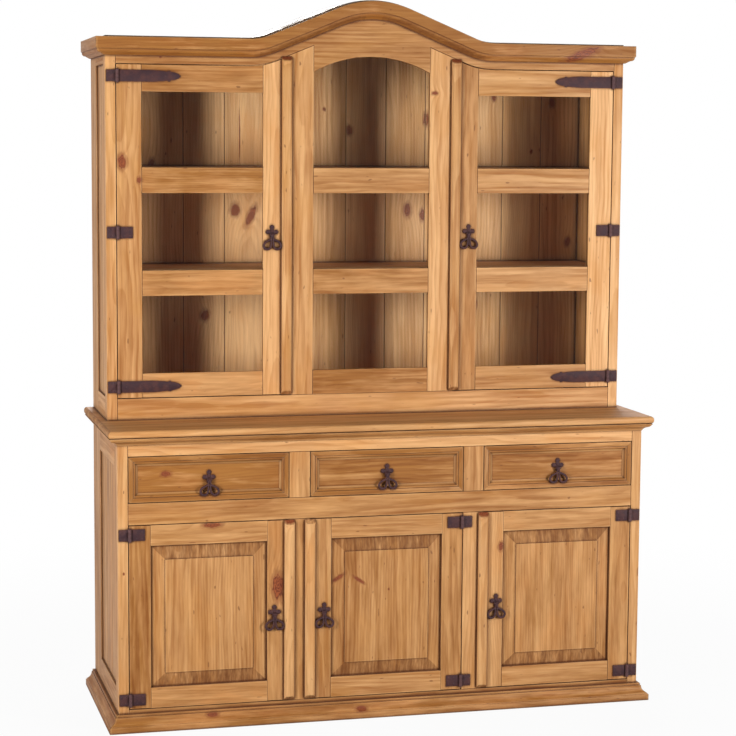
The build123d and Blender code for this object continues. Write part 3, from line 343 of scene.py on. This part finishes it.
def window_glass(name):
    """Clear sheet glass: seen through, with the room's light lying on it at an angle."""
    finish = Finish(name)
    smear = finish.noise(finish.place(), (9, 9, 14), 3)
    shine = finish.node("ShaderNodeBsdfGlossy", {}, {"Roughness": 0.04})
    clear = finish.node("ShaderNodeBsdfTransparent", {}, {"Color": paint(252, 253, 252)})
    # The gloss rises in the same way on the front and on the back of a pane.
    slant = finish.node("ShaderNodeLayerWeight", {}, {"Blend": 0.5}, "Facing")
    gloss = HEAD_ON_GLOSS + (1 - HEAD_ON_GLOSS) * slant ** 5
    finish.surface(gloss * (0.08 + smear * 0.12), clear, shine)
    return finish.material


FINISHES = {
    "front": pine("waxed_pine", paint(242, 190, 132), paint(186, 126, 70)),
    "inside": pine("pine_inside", paint(236, 186, 132), paint(180, 126, 76), raw=0.06),
    "raw": pine("raw_pine", paint(190, 160, 126), paint(140, 112, 82), raw=0.6),
    "iron": forged_iron("forged_iron"),
    "glass": window_glass("window_glass"),
}

# ------------------------------------------------------------------ knots that show
# How far back the faces lie that carry knots. A knot on a bevel has a y of its own.
BASE_FACE = -0.2575
HUTCH_FACE = -0.0475
BACK_BOARDS = 0.2765
DRAWER_BOARD = -0.2493
PANEL_FIELD = -0.2565
PLINTH_FACE = -0.2840
BASE_STRIP = -0.2710
HUTCH_STRIP = -0.0600
CORNICE_FACE = -0.0770
# x, y and z of the knot, half its length along the grain, half its width across it, and its turn
# in degrees.
KNOTS = [
    (-0.752, HUTCH_FACE, 1.640, 0.022, 0.014, 0),
    (-0.702, HUTCH_FACE, 1.587, 0.010, 0.007, 0),
    (0.196, HUTCH_FACE, 1.850, 0.006, 0.010, 0),
    (-0.638, HUTCH_FACE, 1.944, 0.004, 0.003, 0),
    (-0.659, DRAWER_BOARD, 0.749, 0.016, 0.009, 0),
    (-0.525, BASE_FACE, 0.597, 0.028, 0.010, 0),
    (-0.330, BASE_FACE, 0.405, 0.040, 0.020, 0),
    (-0.148, -0.2540, 0.421, 0.022, 0.006, 55),
    (-0.085, -0.2560, 0.413, 0.022, 0.005, -55),
    (-0.527, PLINTH_FACE, 0.037, 0.018, 0.008, 0),
    (-0.080, PLINTH_FACE, 0.027, 0.018, 0.008, 0),
    (0.655, CORNICE_FACE, 1.972, 0.060, 0.014, 22),
    (-0.262, HUTCH_STRIP, 1.950, 0.009, 0.018, 0),
    (0.262, HUTCH_STRIP, 1.950, 0.009, 0.018, 0),
    (-0.297, BASE_STRIP, 0.600, 0.008, 0.018, 0),
    (0.297, BASE_STRIP, 0.600, 0.010, 0.018, 0),
    (0.356, -0.2490, 0.495, 0.014, 0.010, 0),
    (0.006, PANEL_FIELD, 0.381, 0.004, 0.003, 0),
    (0.043, PANEL_FIELD, 0.186, 0.007, 0.004, 0),
    (-0.053, PANEL_FIELD, 0.181, 0.006, 0.003, 0),
    (-0.783, BASE_FACE, 0.463, 0.004, 0.003, 0),
    (-0.355, BACK_BOARDS, 1.489, 0.022, 0.016, 0),
    (-0.305, BACK_BOARDS, 1.470, 0.036, 0.012, 25),
    (-0.341, BACK_BOARDS, 1.715, 0.085, 0.0018, 0),
    (-0.451, BACK_BOARDS, 1.161, 0.018, 0.014, 0),
    (0.009, BACK_BOARDS, 1.739, 0.016, 0.013, 0),
    (-0.071, BACK_BOARDS, 1.804, 0.006, 0.005, 0),
    (0.262, BACK_BOARDS, 1.776, 0.024, 0.010, 0),
    (0.203, BACK_BOARDS, 1.488, 0.024, 0.013, 0),
    (0.253, BACK_BOARDS, 1.472, 0.020, 0.010, 0),
    (0.216, BACK_BOARDS, 1.055, 0.022, 0.012, 0),
]
KNOT_REACH = 0.004  # a knot this far outside a board still belongs to it
SCATTERED = {"inside": 1.6, "raw": 1.6, "front": 0.0}  # other knots to a metre of board
# How deep the stain lies on boards that stand and on boards that lie, from 0 to 1. The depths also
# hold painted shade: lying boards are deeper for the duller light that they send back, and the base
# is deeper for the weaker light low down.
STAINS_AND_SHADE = {
    "cornice_moulding": (1.0, 1.0), "counter_top": (0.38, 0.38), "plinth_moulding": (0.98, 0.82),
    "left_drawer_front": (1.0, 1.0), "drawer_front": (0.9, 0.9),
    "hutch_left_door_astragal": (0.06, 0.06), "door_astragal": (0.3, 0.3),
    "base_left_door_panel": (0.56, 0.56), "base_centre_door_panel": (0.54, 0.54),
    "base_right_door_panel": (0.62, 0.62), "centre_window": (0.22, 0.66),
    "hutch_face_frame": (0.12, 0.28), "base_face_frame": (0.45, 0.74),
    "hutch_left_door": (0.16, 0.5), "hutch_right_door": (0.06, 0.42),
    "base_left_side": (0.66, 0.66), "base_right_side": (0.66, 0.66),
    "hutch_left_side": (0.44, 0.44), "hutch_right_side": (0.44, 0.44), "_door": (0.54, 0.5),
}
PLAIN_STAIN = (0.1, 0.1)
# Boards with a depth of stain and painted shade of their own: node, x and z of the board's middle,
# and the depth.
OWN_STAINS_AND_SHADE = [
    ("hutch_face_frame", 0, 2.005, 0.62),
    ("hutch_left_door_frame", -0.731, 1.434, 0.32),
    ("hutch_left_door_frame", -0.514, 1.885, 0.7),
    ("hutch_left_door_frame", -0.514, 1.586, 0.82),
    ("hutch_left_door_frame", -0.514, 1.284, 0.64),
    ("hutch_left_door_frame", -0.514, 0.982, 0.55),
    ("centre_window", 0, 0.981, 0.85),
    ("hutch_right_door_frame", 0.731, 1.434, -0.06),
    # This inner stile is deeper for the shadow along it: painted shade.
    ("hutch_right_door_frame", 0.298, 1.448, 0.56),
    ("hutch_right_door_frame", 0.514, 1.586, 0.56),
    ("counter_top", 0, 0.847, 0.7),
    ("base_face_frame", 0, 0.830, 0.26),
    ("base_face_frame", 0, 0.635, 0.5),
    ("base_left_door_frame", -0.736, 0.333, 0.85),
    ("base_right_door_frame", 0.330, 0.333, 0.4),
]


# ------------------------------------------------------------------ wooden pieces
def islands(mesh):
    """The loose boards of a node's mesh, each as its own bmesh, in the order of their faces."""
    whole = bmesh.new()
    whole.from_mesh(mesh)
    bmesh.ops.remove_doubles(whole, verts=whole.verts, dist=WELD)
    whole.faces.index_update()
    known = set()
    for start in whole.faces:
        if start.index in known:
            continue
        known.add(start.index)
        group = [start]
        for face in group:
            for edge in face.edges:
                for beside in edge.link_faces:
                    if beside.index not in known:
                        known.add(beside.index)
                        group.append(beside)
        board = bmesh.new()
        corners = dict.fromkeys(vert for face in group for vert in face.verts)
        for vert in corners:
            corners[vert] = board.verts.new(vert.co)
        for face in group:
            board.faces.new([corners[vert] for vert in face.verts])
        yield board
        board.free()
    whole.free()


FLAT = math.radians(1)  # faces that meet at less than this are one
SHARP = math.radians(35)  # edges that turn by more than this are eased
ROUND_WOOD = math.radians(20)  # edges of wood that turn by less are shaded as round
ROUND_IRON = math.radians(38)  # and the same for iron


def ease(board, width):
    """Takes the sharp edges off a board."""
    bmesh.ops.recalc_face_normals(board, faces=board.faces)
    bmesh.ops.dissolve_limit(board, angle_limit=FLAT, verts=board.verts, edges=board.edges)
    round_off(board, [edge for edge in board.edges if edge.calc_face_angle(0) > SHARP], width)
    bmesh.ops.dissolve_degenerate(board, dist=WELD, edges=board.edges)


def round_off(shape, edges, width):
    """Rounds some edges of a shape."""
    bmesh.ops.bevel(
        shape, geom=edges, offset=width, offset_type="OFFSET", segments=2, profile=0.5,
        affect="EDGES", clamp_overlap=True,
    )


def box_of(points):
    """The lowest and the highest corner of the box round some points."""
    return [Vector([end(point[axis] for point in points) for axis in AXES]) for end in (min, max)]


def listed_knots(low, high):
    """The knots of the list that lie on a board between two corners."""
    found = []
    for *place, half_length, half_width, turn in KNOTS:
        place = Vector(place)
        if all(low[axis] - KNOT_REACH < place[axis] < high[axis] + KNOT_REACH for axis in AXES):
            found.append((place, half_length, half_width, math.radians(turn)))
    return found


def scattered_knots(rng, count, middle, size, along, across):
    """Knots at random places on a board."""
    found = []
    for index in range(count):
        place = middle.copy()
        place[along] += rng.uniform(-0.45, 0.45) * size[along]
        place[across] += rng.uniform(-0.3, 0.3) * size[across]
        half = rng.uniform(0.003, 0.012)
        found.append((place, half * rng.uniform(1.2, 2), half, rng.uniform(-0.3, 0.3)))
    return found


NARROW = 0.045  # boards narrower than this have no scattered knots
NO_KNOT = (40, 40, 0)  # a knot of no size, too far off to show


class Boards:
    """Boards gathered into one mesh, with the fields that their finish reads."""

    def __init__(self):
        self.verts = []
        self.faces = []
        self.grain = []
        self.tone = []
        self.stain_and_shade = []
        self.end_grain = []
        self.knots = [[] for index in range(KNOTS_PER_BOARD)]

    def add(self, board, node, rng):
        """Takes in a board of a node and lays its grain, knots, and stain with painted shade."""
        points = [vert.co.copy() for vert in board.verts]
        low, high = box_of(points)
        size = high - low
        along, across, through = sorted(AXES, key=lambda axis: -size[axis])
        middle = (low + high) / 2
        pith = Vector((0, 0, 0))
        pith[along] = middle[along] + rng.uniform(5, 40)
        pith[across] = middle[across] + rng.uniform(-0.9, 0.9) * size[across]
        pith[through] = middle[through] + rng.uniform(0.02, 0.07)
        tone = rng.random()

        near = listed_knots(low, high)
        wanted = int(size[along] * SCATTERED[finish_of(node)] + rng.random())
        if size[across] > NARROW and not near:
            near = scattered_knots(rng, wanted, middle, size, along, across)
        near = near[:KNOTS_PER_BOARD]

        first = len(self.verts)
        board.verts.index_update()
        self.verts += points
        self.faces += [[first + vert.index for vert in face.verts] for face in board.faces]
        self.end_grain += [abs(face.normal[along]) for face in board.faces]
        self.tone += [tone] * len(points)
        self.stain_and_shade += [stain_and_shade_of(node, low, high) + rng.uniform(-0.1, 0.1)] * len(points)
        for point in points:
            self.grain += [(point - pith)[axis] for axis in (along, across, through)]
            for (place, half_length, half_width, turn), field in zip(near, self.knots):
                away = point - place
                u = away[along] * math.cos(turn) + away[across] * math.sin(turn)
                v = away[across] * math.cos(turn) - away[along] * math.sin(turn)
                field += [u / half_length, v / half_width, half_width]
            for field in self.knots[len(near):]:
                field += NO_KNOT

    def mesh(self, name):
        """The boards as a mesh that carries the fields."""
        made = bpy.data.meshes.new(name)
        made.from_pydata(self.verts, [], self.faces)
        vectors = {"grain": self.grain}
        vectors.update({f"knot_{index}": field for index, field in enumerate(self.knots)})
        for field, values in vectors.items():
            made.attributes.new(field, "FLOAT_VECTOR", "POINT").data.foreach_set("vector", values)
        numbers = [
            ("tone", "POINT", self.tone), ("stain_and_shade", "POINT", self.stain_and_shade),
            ("end_grain", "FACE", self.end_grain),
        ]
        for field, domain, values in numbers:
            made.attributes.new(field, "FLOAT", domain).data.foreach_set("value", values)
        shade(made, ROUND_WOOD)
        return made


def shade(mesh, angle):
    """Shades a mesh as round, apart from edges that turn by more than an angle."""
    mesh.polygons.foreach_set("use_smooth", [True] * len(mesh.polygons))
    mesh.set_sharp_from_angle(angle=angle)


def show(name, mesh, finish, node):
    """A finished piece of the cabinet that takes a node's place on its body."""
    piece = bpy.data.objects.new(name, mesh)
    bpy.context.collection.objects.link(piece)
    mesh.materials.append(FINISHES[finish])
    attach(piece, body_of(nodes[node])[0])
    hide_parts(node)


def finish_of(node):
    """The finish that a wooden node gets."""
    if node.endswith(("_back_planks", "_shelves", "_box", "_runners")):
        return "inside"
    return "raw" if node.endswith("_roof") else "front"


SAME_BOARD = 0.02  # a listed middle this near is the board's


def stain_and_shade_of(node, low, high):
    """How deep the stain and painted shade lie on the board of a node between two corners."""
    middle = (low.x / 2 + high.x / 2, low.z / 2 + high.z / 2)
    for own, x, z, depth in OWN_STAINS_AND_SHADE:
        if own == node and math.dist((x, z), middle) < SAME_BOARD:
            return depth
    stands, lies = next((depth for part, depth in STAINS_AND_SHADE.items() if part in node), PLAIN_STAIN)
    return lies if high.x - low.x > high.z - low.z else stands


# How far the edges are eased, by the end of a node's name.
EASE = {
    "_back_planks": 0.6 * MM, "_box": 0.6 * MM, "cornice_moulding": 0.8 * MM,
    "_door_panel": 0.4 * MM,
}
PLAIN_EASE = 1.3 * MM


def wooden(node):
    """The node's boards with eased edges, in one piece."""
    width = next((size for end, size in EASE.items() if node.endswith(end)), PLAIN_EASE)
    boards = Boards()
    for index, board in enumerate(islands(nodes[node].data)):
        ease(board, width)
        boards.add(board, node, random.Random(f"{node} {index}"))
    name = f"{node}_boards"
    show(name, boards.mesh(name), finish_of(node), node)


for node in nodes:
    if "glass" not in node and "hinge" not in node and "pull" not in node:
        wooden(node)


# ------------------------------------------------------------------ iron
def angles(sides):
    """The angles of so many points round a circle."""
    return [2 * math.pi * step / sides for step in range(sides)]


def millimetres(*points):
    """Pairs of numbers written in millimetres, in metres."""
    return [(first * MM, second * MM) for first, second in points]


# A nail head's height and radius at four steps, as shares of the whole.
NAIL_DOME = [(0, 1), (0.45, 0.93), (0.8, 0.66), (1, 0.25)]
NAIL_RADIUS = 2.4 * MM
NAIL_HEIGHT = 1.3 * MM


class Forging:
    """Iron shapes gathered into one mesh."""

    def __init__(self):
        self.bm = bmesh.new()

    def skin(self, rings):
        """Closes the iron between rings of points and over the two ends."""
        for near, far in zip(rings, rings[1:]):
            for step in range(len(near)):
                after = (step + 1) % len(near)
                self.bm.faces.new((near[step], near[after], far[after], far[step]))
        self.bm.faces.new(rings[0][::-1])
        self.bm.faces.new(rings[-1])

    def bar(self, path, radii, flatten, sides=10):
        """A bar bent along a path that lies in an upright plane parallel to the front."""
        out = Vector((0, 1, 0))
        rings = []
        befores = [path[0], *path]
        afters = path[1:] + path[-1:]
        for before, point, after, radius in zip(befores, path, afters, radii):
            side = (after - before).normalized().cross(out)
            rings.append([
                self.bm.verts.new(
                    point + side * radius * math.cos(a) + out * radius * flatten * math.sin(a)
                )
                for a in angles(sides)
            ])
        self.skin(rings)

    def turned(self, centre, axis, profile, sides=16):
        """A round shape about an axis; profile lists (distance along the axis, radius)."""
        axis = Vector(axis).normalized()
        side = axis.orthogonal().normalized()
        other = axis.cross(side)
        self.skin([
            [
                self.bm.verts.new(
                    centre + axis * along + (side * math.cos(a) + other * math.sin(a)) * radius
                )
                for a in angles(sides)
            ]
            for along, radius in profile
        ])

    def nail(self, x, face_y, z):
        """A hammered round nail head on a face that looks to the front."""
        profile = [(NAIL_HEIGHT * rise, NAIL_RADIUS * share) for rise, share in NAIL_DOME]
        self.turned(Vector((x, face_y, z)), (0, -1, 0), profile, sides=10)

    def slab(self, outline, front, back, ease_width):
        """A plate cut to an outline of (x, z) points, its front edge eased."""
        plate = bmesh.new()
        bottom = [plate.verts.new((x, back, z)) for x, z in outline]
        top = [plate.verts.new((x, front, z)) for x, z in outline]
        plate.faces.new(bottom)
        face = plate.faces.new(top[::-1])
        for index in range(len(outline)):
            after = (index + 1) % len(outline)
            plate.faces.new((bottom[index], top[index], top[after], bottom[after]))
        bmesh.ops.recalc_face_normals(plate, faces=plate.faces)
        round_off(plate, list(face.edges), ease_width)
        self.take(plate)
        plate.free()

    def take(self, other):
        """Adds the faces of another bmesh."""
        corners = {vert: self.bm.verts.new(vert.co) for vert in other.verts}
        for face in other.faces:
            self.bm.faces.new([corners[vert] for vert in face.verts])

    def piece(self, node):
        """Shows the iron in place of a node."""
        name = f"{node}_forged"
        bmesh.ops.recalc_face_normals(self.bm, faces=self.bm.faces)
        mesh = bpy.data.meshes.new(name)
        self.bm.to_mesh(mesh)
        self.bm.free()
        shade(mesh, ROUND_IRON)
        show(name, mesh, "iron", node)


LEAF = 2.5 * MM  # thickness of a leaf
LEAF_EASE = 0.4 * MM
AXIS_REACH = 5.3 * MM  # hinge axis in front of the wood
ROLLED = 1.5 * MM  # what is this near to a leaf's frontmost point is its knuckle
BARREL_RADIUS = 5.15 * MM
BARREL_ROUND = 0.7 * MM
BARREL_HEIGHT = 37 * MM
KNUCKLE_GAP = 0.35 * MM
PIN_HEAD = millimetres((0, 3.0), (0.8, 2.88), (1.6, 1.44))
# Nails: their places as shares of the leaf's reach, and how far above or below its middle.
STRAP_REACH = 0.1  # a leaf that reaches further is a long strap
SHORT_NAILS = [(share, row * MM) for share in (0.45, 0.82) for row in (-9.5, 9.5)]
STRAP_NAILS = [(share, 0) for share in (0.13, 0.34, 0.56, 0.76)]


def knuckle(forging, axis, low, high):
    """A rolled knuckle of a hinge, round where the plain leaf has flats."""
    profile = [
        (low, BARREL_RADIUS - BARREL_ROUND),
        (low + BARREL_ROUND, BARREL_RADIUS),
        (high - BARREL_ROUND, BARREL_RADIUS),
        (high, BARREL_RADIUS - BARREL_ROUND),
    ]
    forging.turned(axis, (0, 0, 1), profile)


def hinge_leaves(node):
    """Hinge leaves with eased edges, round knuckles, pin heads and hammered nails."""
    forging = Forging()
    for leaf in islands(nodes[node].data):
        points = [vert.co.copy() for vert in leaf.verts]
        low, high = box_of(points)
        level = (low.z + high.z) / 2
        rolled = [point.x for point in points if point.y < low.y + ROLLED]
        axis = Vector(((min(rolled) + max(rolled)) / 2, high.y - AXIS_REACH, level))
        side = 1 if high.x - axis.x > axis.x - low.x else -1
        reach = max(high.x - axis.x, axis.x - low.x)
        ease(leaf, LEAF_EASE)
        forging.take(leaf)
        end = BARREL_HEIGHT / 2
        third = end / 3  # half the height of the middle knuckle
        if node == "frame_hinge_leaves":
            knuckle(forging, axis, -end, -third)
            knuckle(forging, axis, third, end)
            for way in (-1, 1):
                top = axis + Vector((0, 0, way * end))
                forging.turned(top, (0, 0, way), PIN_HEAD, sides=10)
        else:
            knuckle(forging, axis, KNUCKLE_GAP - third, third - KNUCKLE_GAP)
        nails = SHORT_NAILS if reach < STRAP_REACH else STRAP_NAILS
        for share, row in nails:
            forging.nail(axis.x + side * reach * share, high.y - LEAF, level + row)
    forging.piece(node)


CURVE_STEPS = 5


def smooth(points):
    """A path through the points without corners."""
    ends = [points[0], *points, points[-1]]
    path = []
    for before, near, far, after in zip(ends, ends[1:], ends[2:], ends[3:]):
        for step in range(CURVE_STEPS):
            t = step / CURVE_STEPS
            path.append(0.5 * (
                2 * near + (far - before) * t + (2 * before - 5 * near + 4 * far - after) * t ** 2
                + (3 * near - before - 3 * far + after) * t ** 3
            ))
    return path + [points[-1]]


PLATE = 2.5 * MM  # its thickness
PLATE_EASE = 0.8 * MM
EAR_EASE = 0.3 * MM
# The rest of a pull is in millimetres from its pin: the middles of the lobes and of the boss
# between them, half of the plate's edge, and one bar of the drop.
LOBES = [(0, 21.4), (-12.4, 7.0), (12.4, 7.0)]
BOSS = (0, 9.5)
PLATE_EDGE = [
    (0, -13), (4.2, -11), (6.2, -6), (6.6, 0), (8.6, 3.0), (11.5, 3.6), (11.5, 10.6), (7.4, 11.4),
    (4.6, 14), (3.4, 18), (0, 21),
]
EAR = 5.1  # from the middle of the pin to an ear
DROP_BAR = [
    (1.9, -1), (2.4, -8), (3.8, -14), (9.5, -17.5), (18, -21.5), (24.6, -27.5), (26.4, -35),
    (22.8, -41.5), (16.2, -44), (9.6, -42.4), (5.2, -37), (3.5, -30), (3.0, -22), (2.8, -15),
]
# Turned parts: distances along the axis and radii.
LOBE_DOME = millimetres((0.0, 6.0), (2.2, 6.4), (3.1, 5.8), (3.8, 4.2), (4.0, 2.6), (3.2, 1.0))
BOSS_DOME = millimetres((2.2, 4.6), (3.6, 4.3), (4.6, 3.2), (5.0, 1.2))
EAR_ROUND = millimetres((-1.5, 3.0), (-1, 3.4), (1, 3.4), (1.5, 3.0))
PIN_ROD = millimetres((-7.4, 1.2), (-6.9, 1.6), (6.9, 1.6), (7.4, 1.2))
DROP_EYE = millimetres((-3, 3.0), (-2.5, 3.7), (2.5, 3.7), (3, 3.0))
EAR_HALF = (1.4 * MM, 3 * MM)  # half the width and height of the bar that carries an ear
EAR_SINK = 0.2 * MM  # how far that bar runs into the plate
BAR_RADIUS = 2.7
BAR_SWELL = 0.9  # and so much more half way along the bar
BAR_FLAT = 0.85  # its depth as a share of its width
pins = {joint["child"]: Vector(joint["pos_m"]) for joint in frame["joints"] if "pos_m" in joint}


def pull_plate(node):
    """Three domed lobes round a boss, on a plate with ears for the pin."""
    pin = pins[node.removesuffix("_plate")]
    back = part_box(node)[1][1]
    front = back - PLATE
    forging = Forging()
    edge = PLATE_EDGE + [(-x, z) for x, z in PLATE_EDGE[-2:0:-1]]
    forging.slab([(pin.x + x * MM, pin.z + z * MM) for x, z in edge], front, back, PLATE_EASE)
    for (x, z), dome in [(lobe, LOBE_DOME) for lobe in LOBES] + [(BOSS, BOSS_DOME)]:
        forging.turned(Vector((pin.x + x * MM, back, pin.z + z * MM)), (0, -1, 0), dome)
    for side in (-1, 1):
        ear = Vector((pin.x + side * EAR * MM, pin.y, pin.z))
        forging.turned(ear, (1, 0, 0), EAR_ROUND)
        stub = [(ear.x + x * EAR_HALF[0], pin.z + z * EAR_HALF[1]) for x, z in SQUARE]
        forging.slab(stub, pin.y, front + EAR_SINK, EAR_EASE)
    forging.turned(pin, (1, 0, 0), PIN_ROD)
    forging.piece(node)


def pull_drop(node):
    """Drop forged from one bar: an eye, a stem and two loops drawn out, splayed and closed."""
    pin = pins[node.removesuffix("_drop")]
    forging = Forging()
    forging.turned(pin, (1, 0, 0), DROP_EYE)
    for side in (-1, 1):
        path = smooth([pin + Vector((side * x, 0, z)) * MM for x, z in DROP_BAR])
        shares = [index / (len(path) - 1) for index in range(len(path))]
        radii = [(BAR_RADIUS + BAR_SWELL * math.sin(math.pi * t) ** 2) * MM for t in shares]
        forging.bar(path, radii, BAR_FLAT)
    forging.piece(node)


for node in nodes:
    if node.endswith("hinge_leaves"):
        hinge_leaves(node)
    elif node.endswith("pull_plate"):
        pull_plate(node)
    elif node.endswith("pull_drop"):
        pull_drop(node)
    elif node.endswith("glass"):
        nodes[node].data.materials.clear()
        nodes[node].data.materials.append(FINISHES["glass"])


# ------------------------------------------------------------------ stage
FLOOR_REACH = 40
FLOOR_GLOW = 0.95  # share of plain white in what is seen of the floor at the cabinet
GLOW_START = 0.9  # the share grows from this far out
GLOW_END = 3.0  # and from here on it is white alone
floor_mesh = bpy.data.meshes.new("floor")
corners = [(x * FLOOR_REACH, y * FLOOR_REACH, 0) for x, y in SQUARE]
floor_mesh.from_pydata(corners, [], [(0, 1, 2, 3)])
floor = bpy.data.objects.new("floor", floor_mesh)
bpy.context.collection.objects.link(floor)
finish = Finish("white_floor", Base_Color=paint(180, 180, 180), Roughness=0.9)
x, y = finish.place()[:2]
share = FLOOR_GLOW + (1 - FLOOR_GLOW) * length(x, y).rise(GLOW_START, GLOW_END)
glow = finish.node("ShaderNodeEmission", {}, {"Strength": 1.0})
finish.surface(share * finish.seen(), Field(finish, finish.shader.outputs[0]), glow)
floor_mesh.materials.append(finish.material)

AMBIENT = 0.035  # strength of the plain white light from all round
world = bpy.data.worlds.new("studio")
bpy.context.scene.world = world
world.use_nodes = True
sky = world.node_tree.nodes["Background"]
sky.inputs["Color"].default_value = (1, 1, 1, 1)
studio = Wiring(world.node_tree)
brightness = AMBIENT + (1 - AMBIENT) * studio.seen()
world.node_tree.links.new(brightness.output, sky.inputs["Strength"])

# Name, place, what it aims at, width and height, and power in watts.
SOFTBOXES = [
    ("left_softbox", (-2.66, -2.2, 1.4), (0, 0, 1.3), (0.7, 1.4), 84),
    ("right_softbox", (2.3, -3.0, 1.45), (0, 0, 1.3), (0.6, 1.5), 100),
    ("side_softbox", (-4.5, -0.5, 1.5), (-0.8, 0.1, 1.1), (1.5, 2.0), 8),
    ("back_softbox", (0.8, 3.9, 3.4), (0, 0.2, 1.2), (2.4, 1.6), 170),
]
for name, place, aim, size, power in SOFTBOXES:
    lamp = bpy.data.lights.new(name, "AREA")
    lamp.shape = "RECTANGLE"
    lamp.size, lamp.size_y = size
    lamp.energy = power
    obj = bpy.data.objects.new(name, lamp)
    obj.location = place
    obj.rotation_euler = (Vector(aim) - Vector(place)).to_track_quat("-Z", "Y").to_euler()
    obj.visible_camera = False
    bpy.context.collection.objects.link(obj)

# ------------------------------------------------------------------ camera
EYE = Vector((-1.5795, -6.0772, 1.7002))
LOOK = Vector((0.25078751, 0.96194378, -0.10848869))
ROLL = math.radians(0.3938)
FOCAL_LENGTH = 101.0  # and the sensor's width, in millimetres
SENSOR_WIDTH = 36
across = LOOK.cross(Vector((0, 0, 1))).normalized()
upright = across.cross(LOOK)
right = across * math.cos(ROLL) + upright * math.sin(ROLL)
up = upright * math.cos(ROLL) - across * math.sin(ROLL)
lens = bpy.data.cameras.new("camera")
lens.lens = FOCAL_LENGTH
lens.sensor_width = SENSOR_WIDTH
camera = bpy.data.objects.new("camera", lens)
camera.matrix_world = Matrix.Translation(EYE) @ Matrix((right, up, -LOOK)).transposed().to_4x4()
bpy.context.collection.objects.link(camera)
bpy.context.scene.camera = camera
bpy.context.scene.view_settings.view_transform = "Standard"
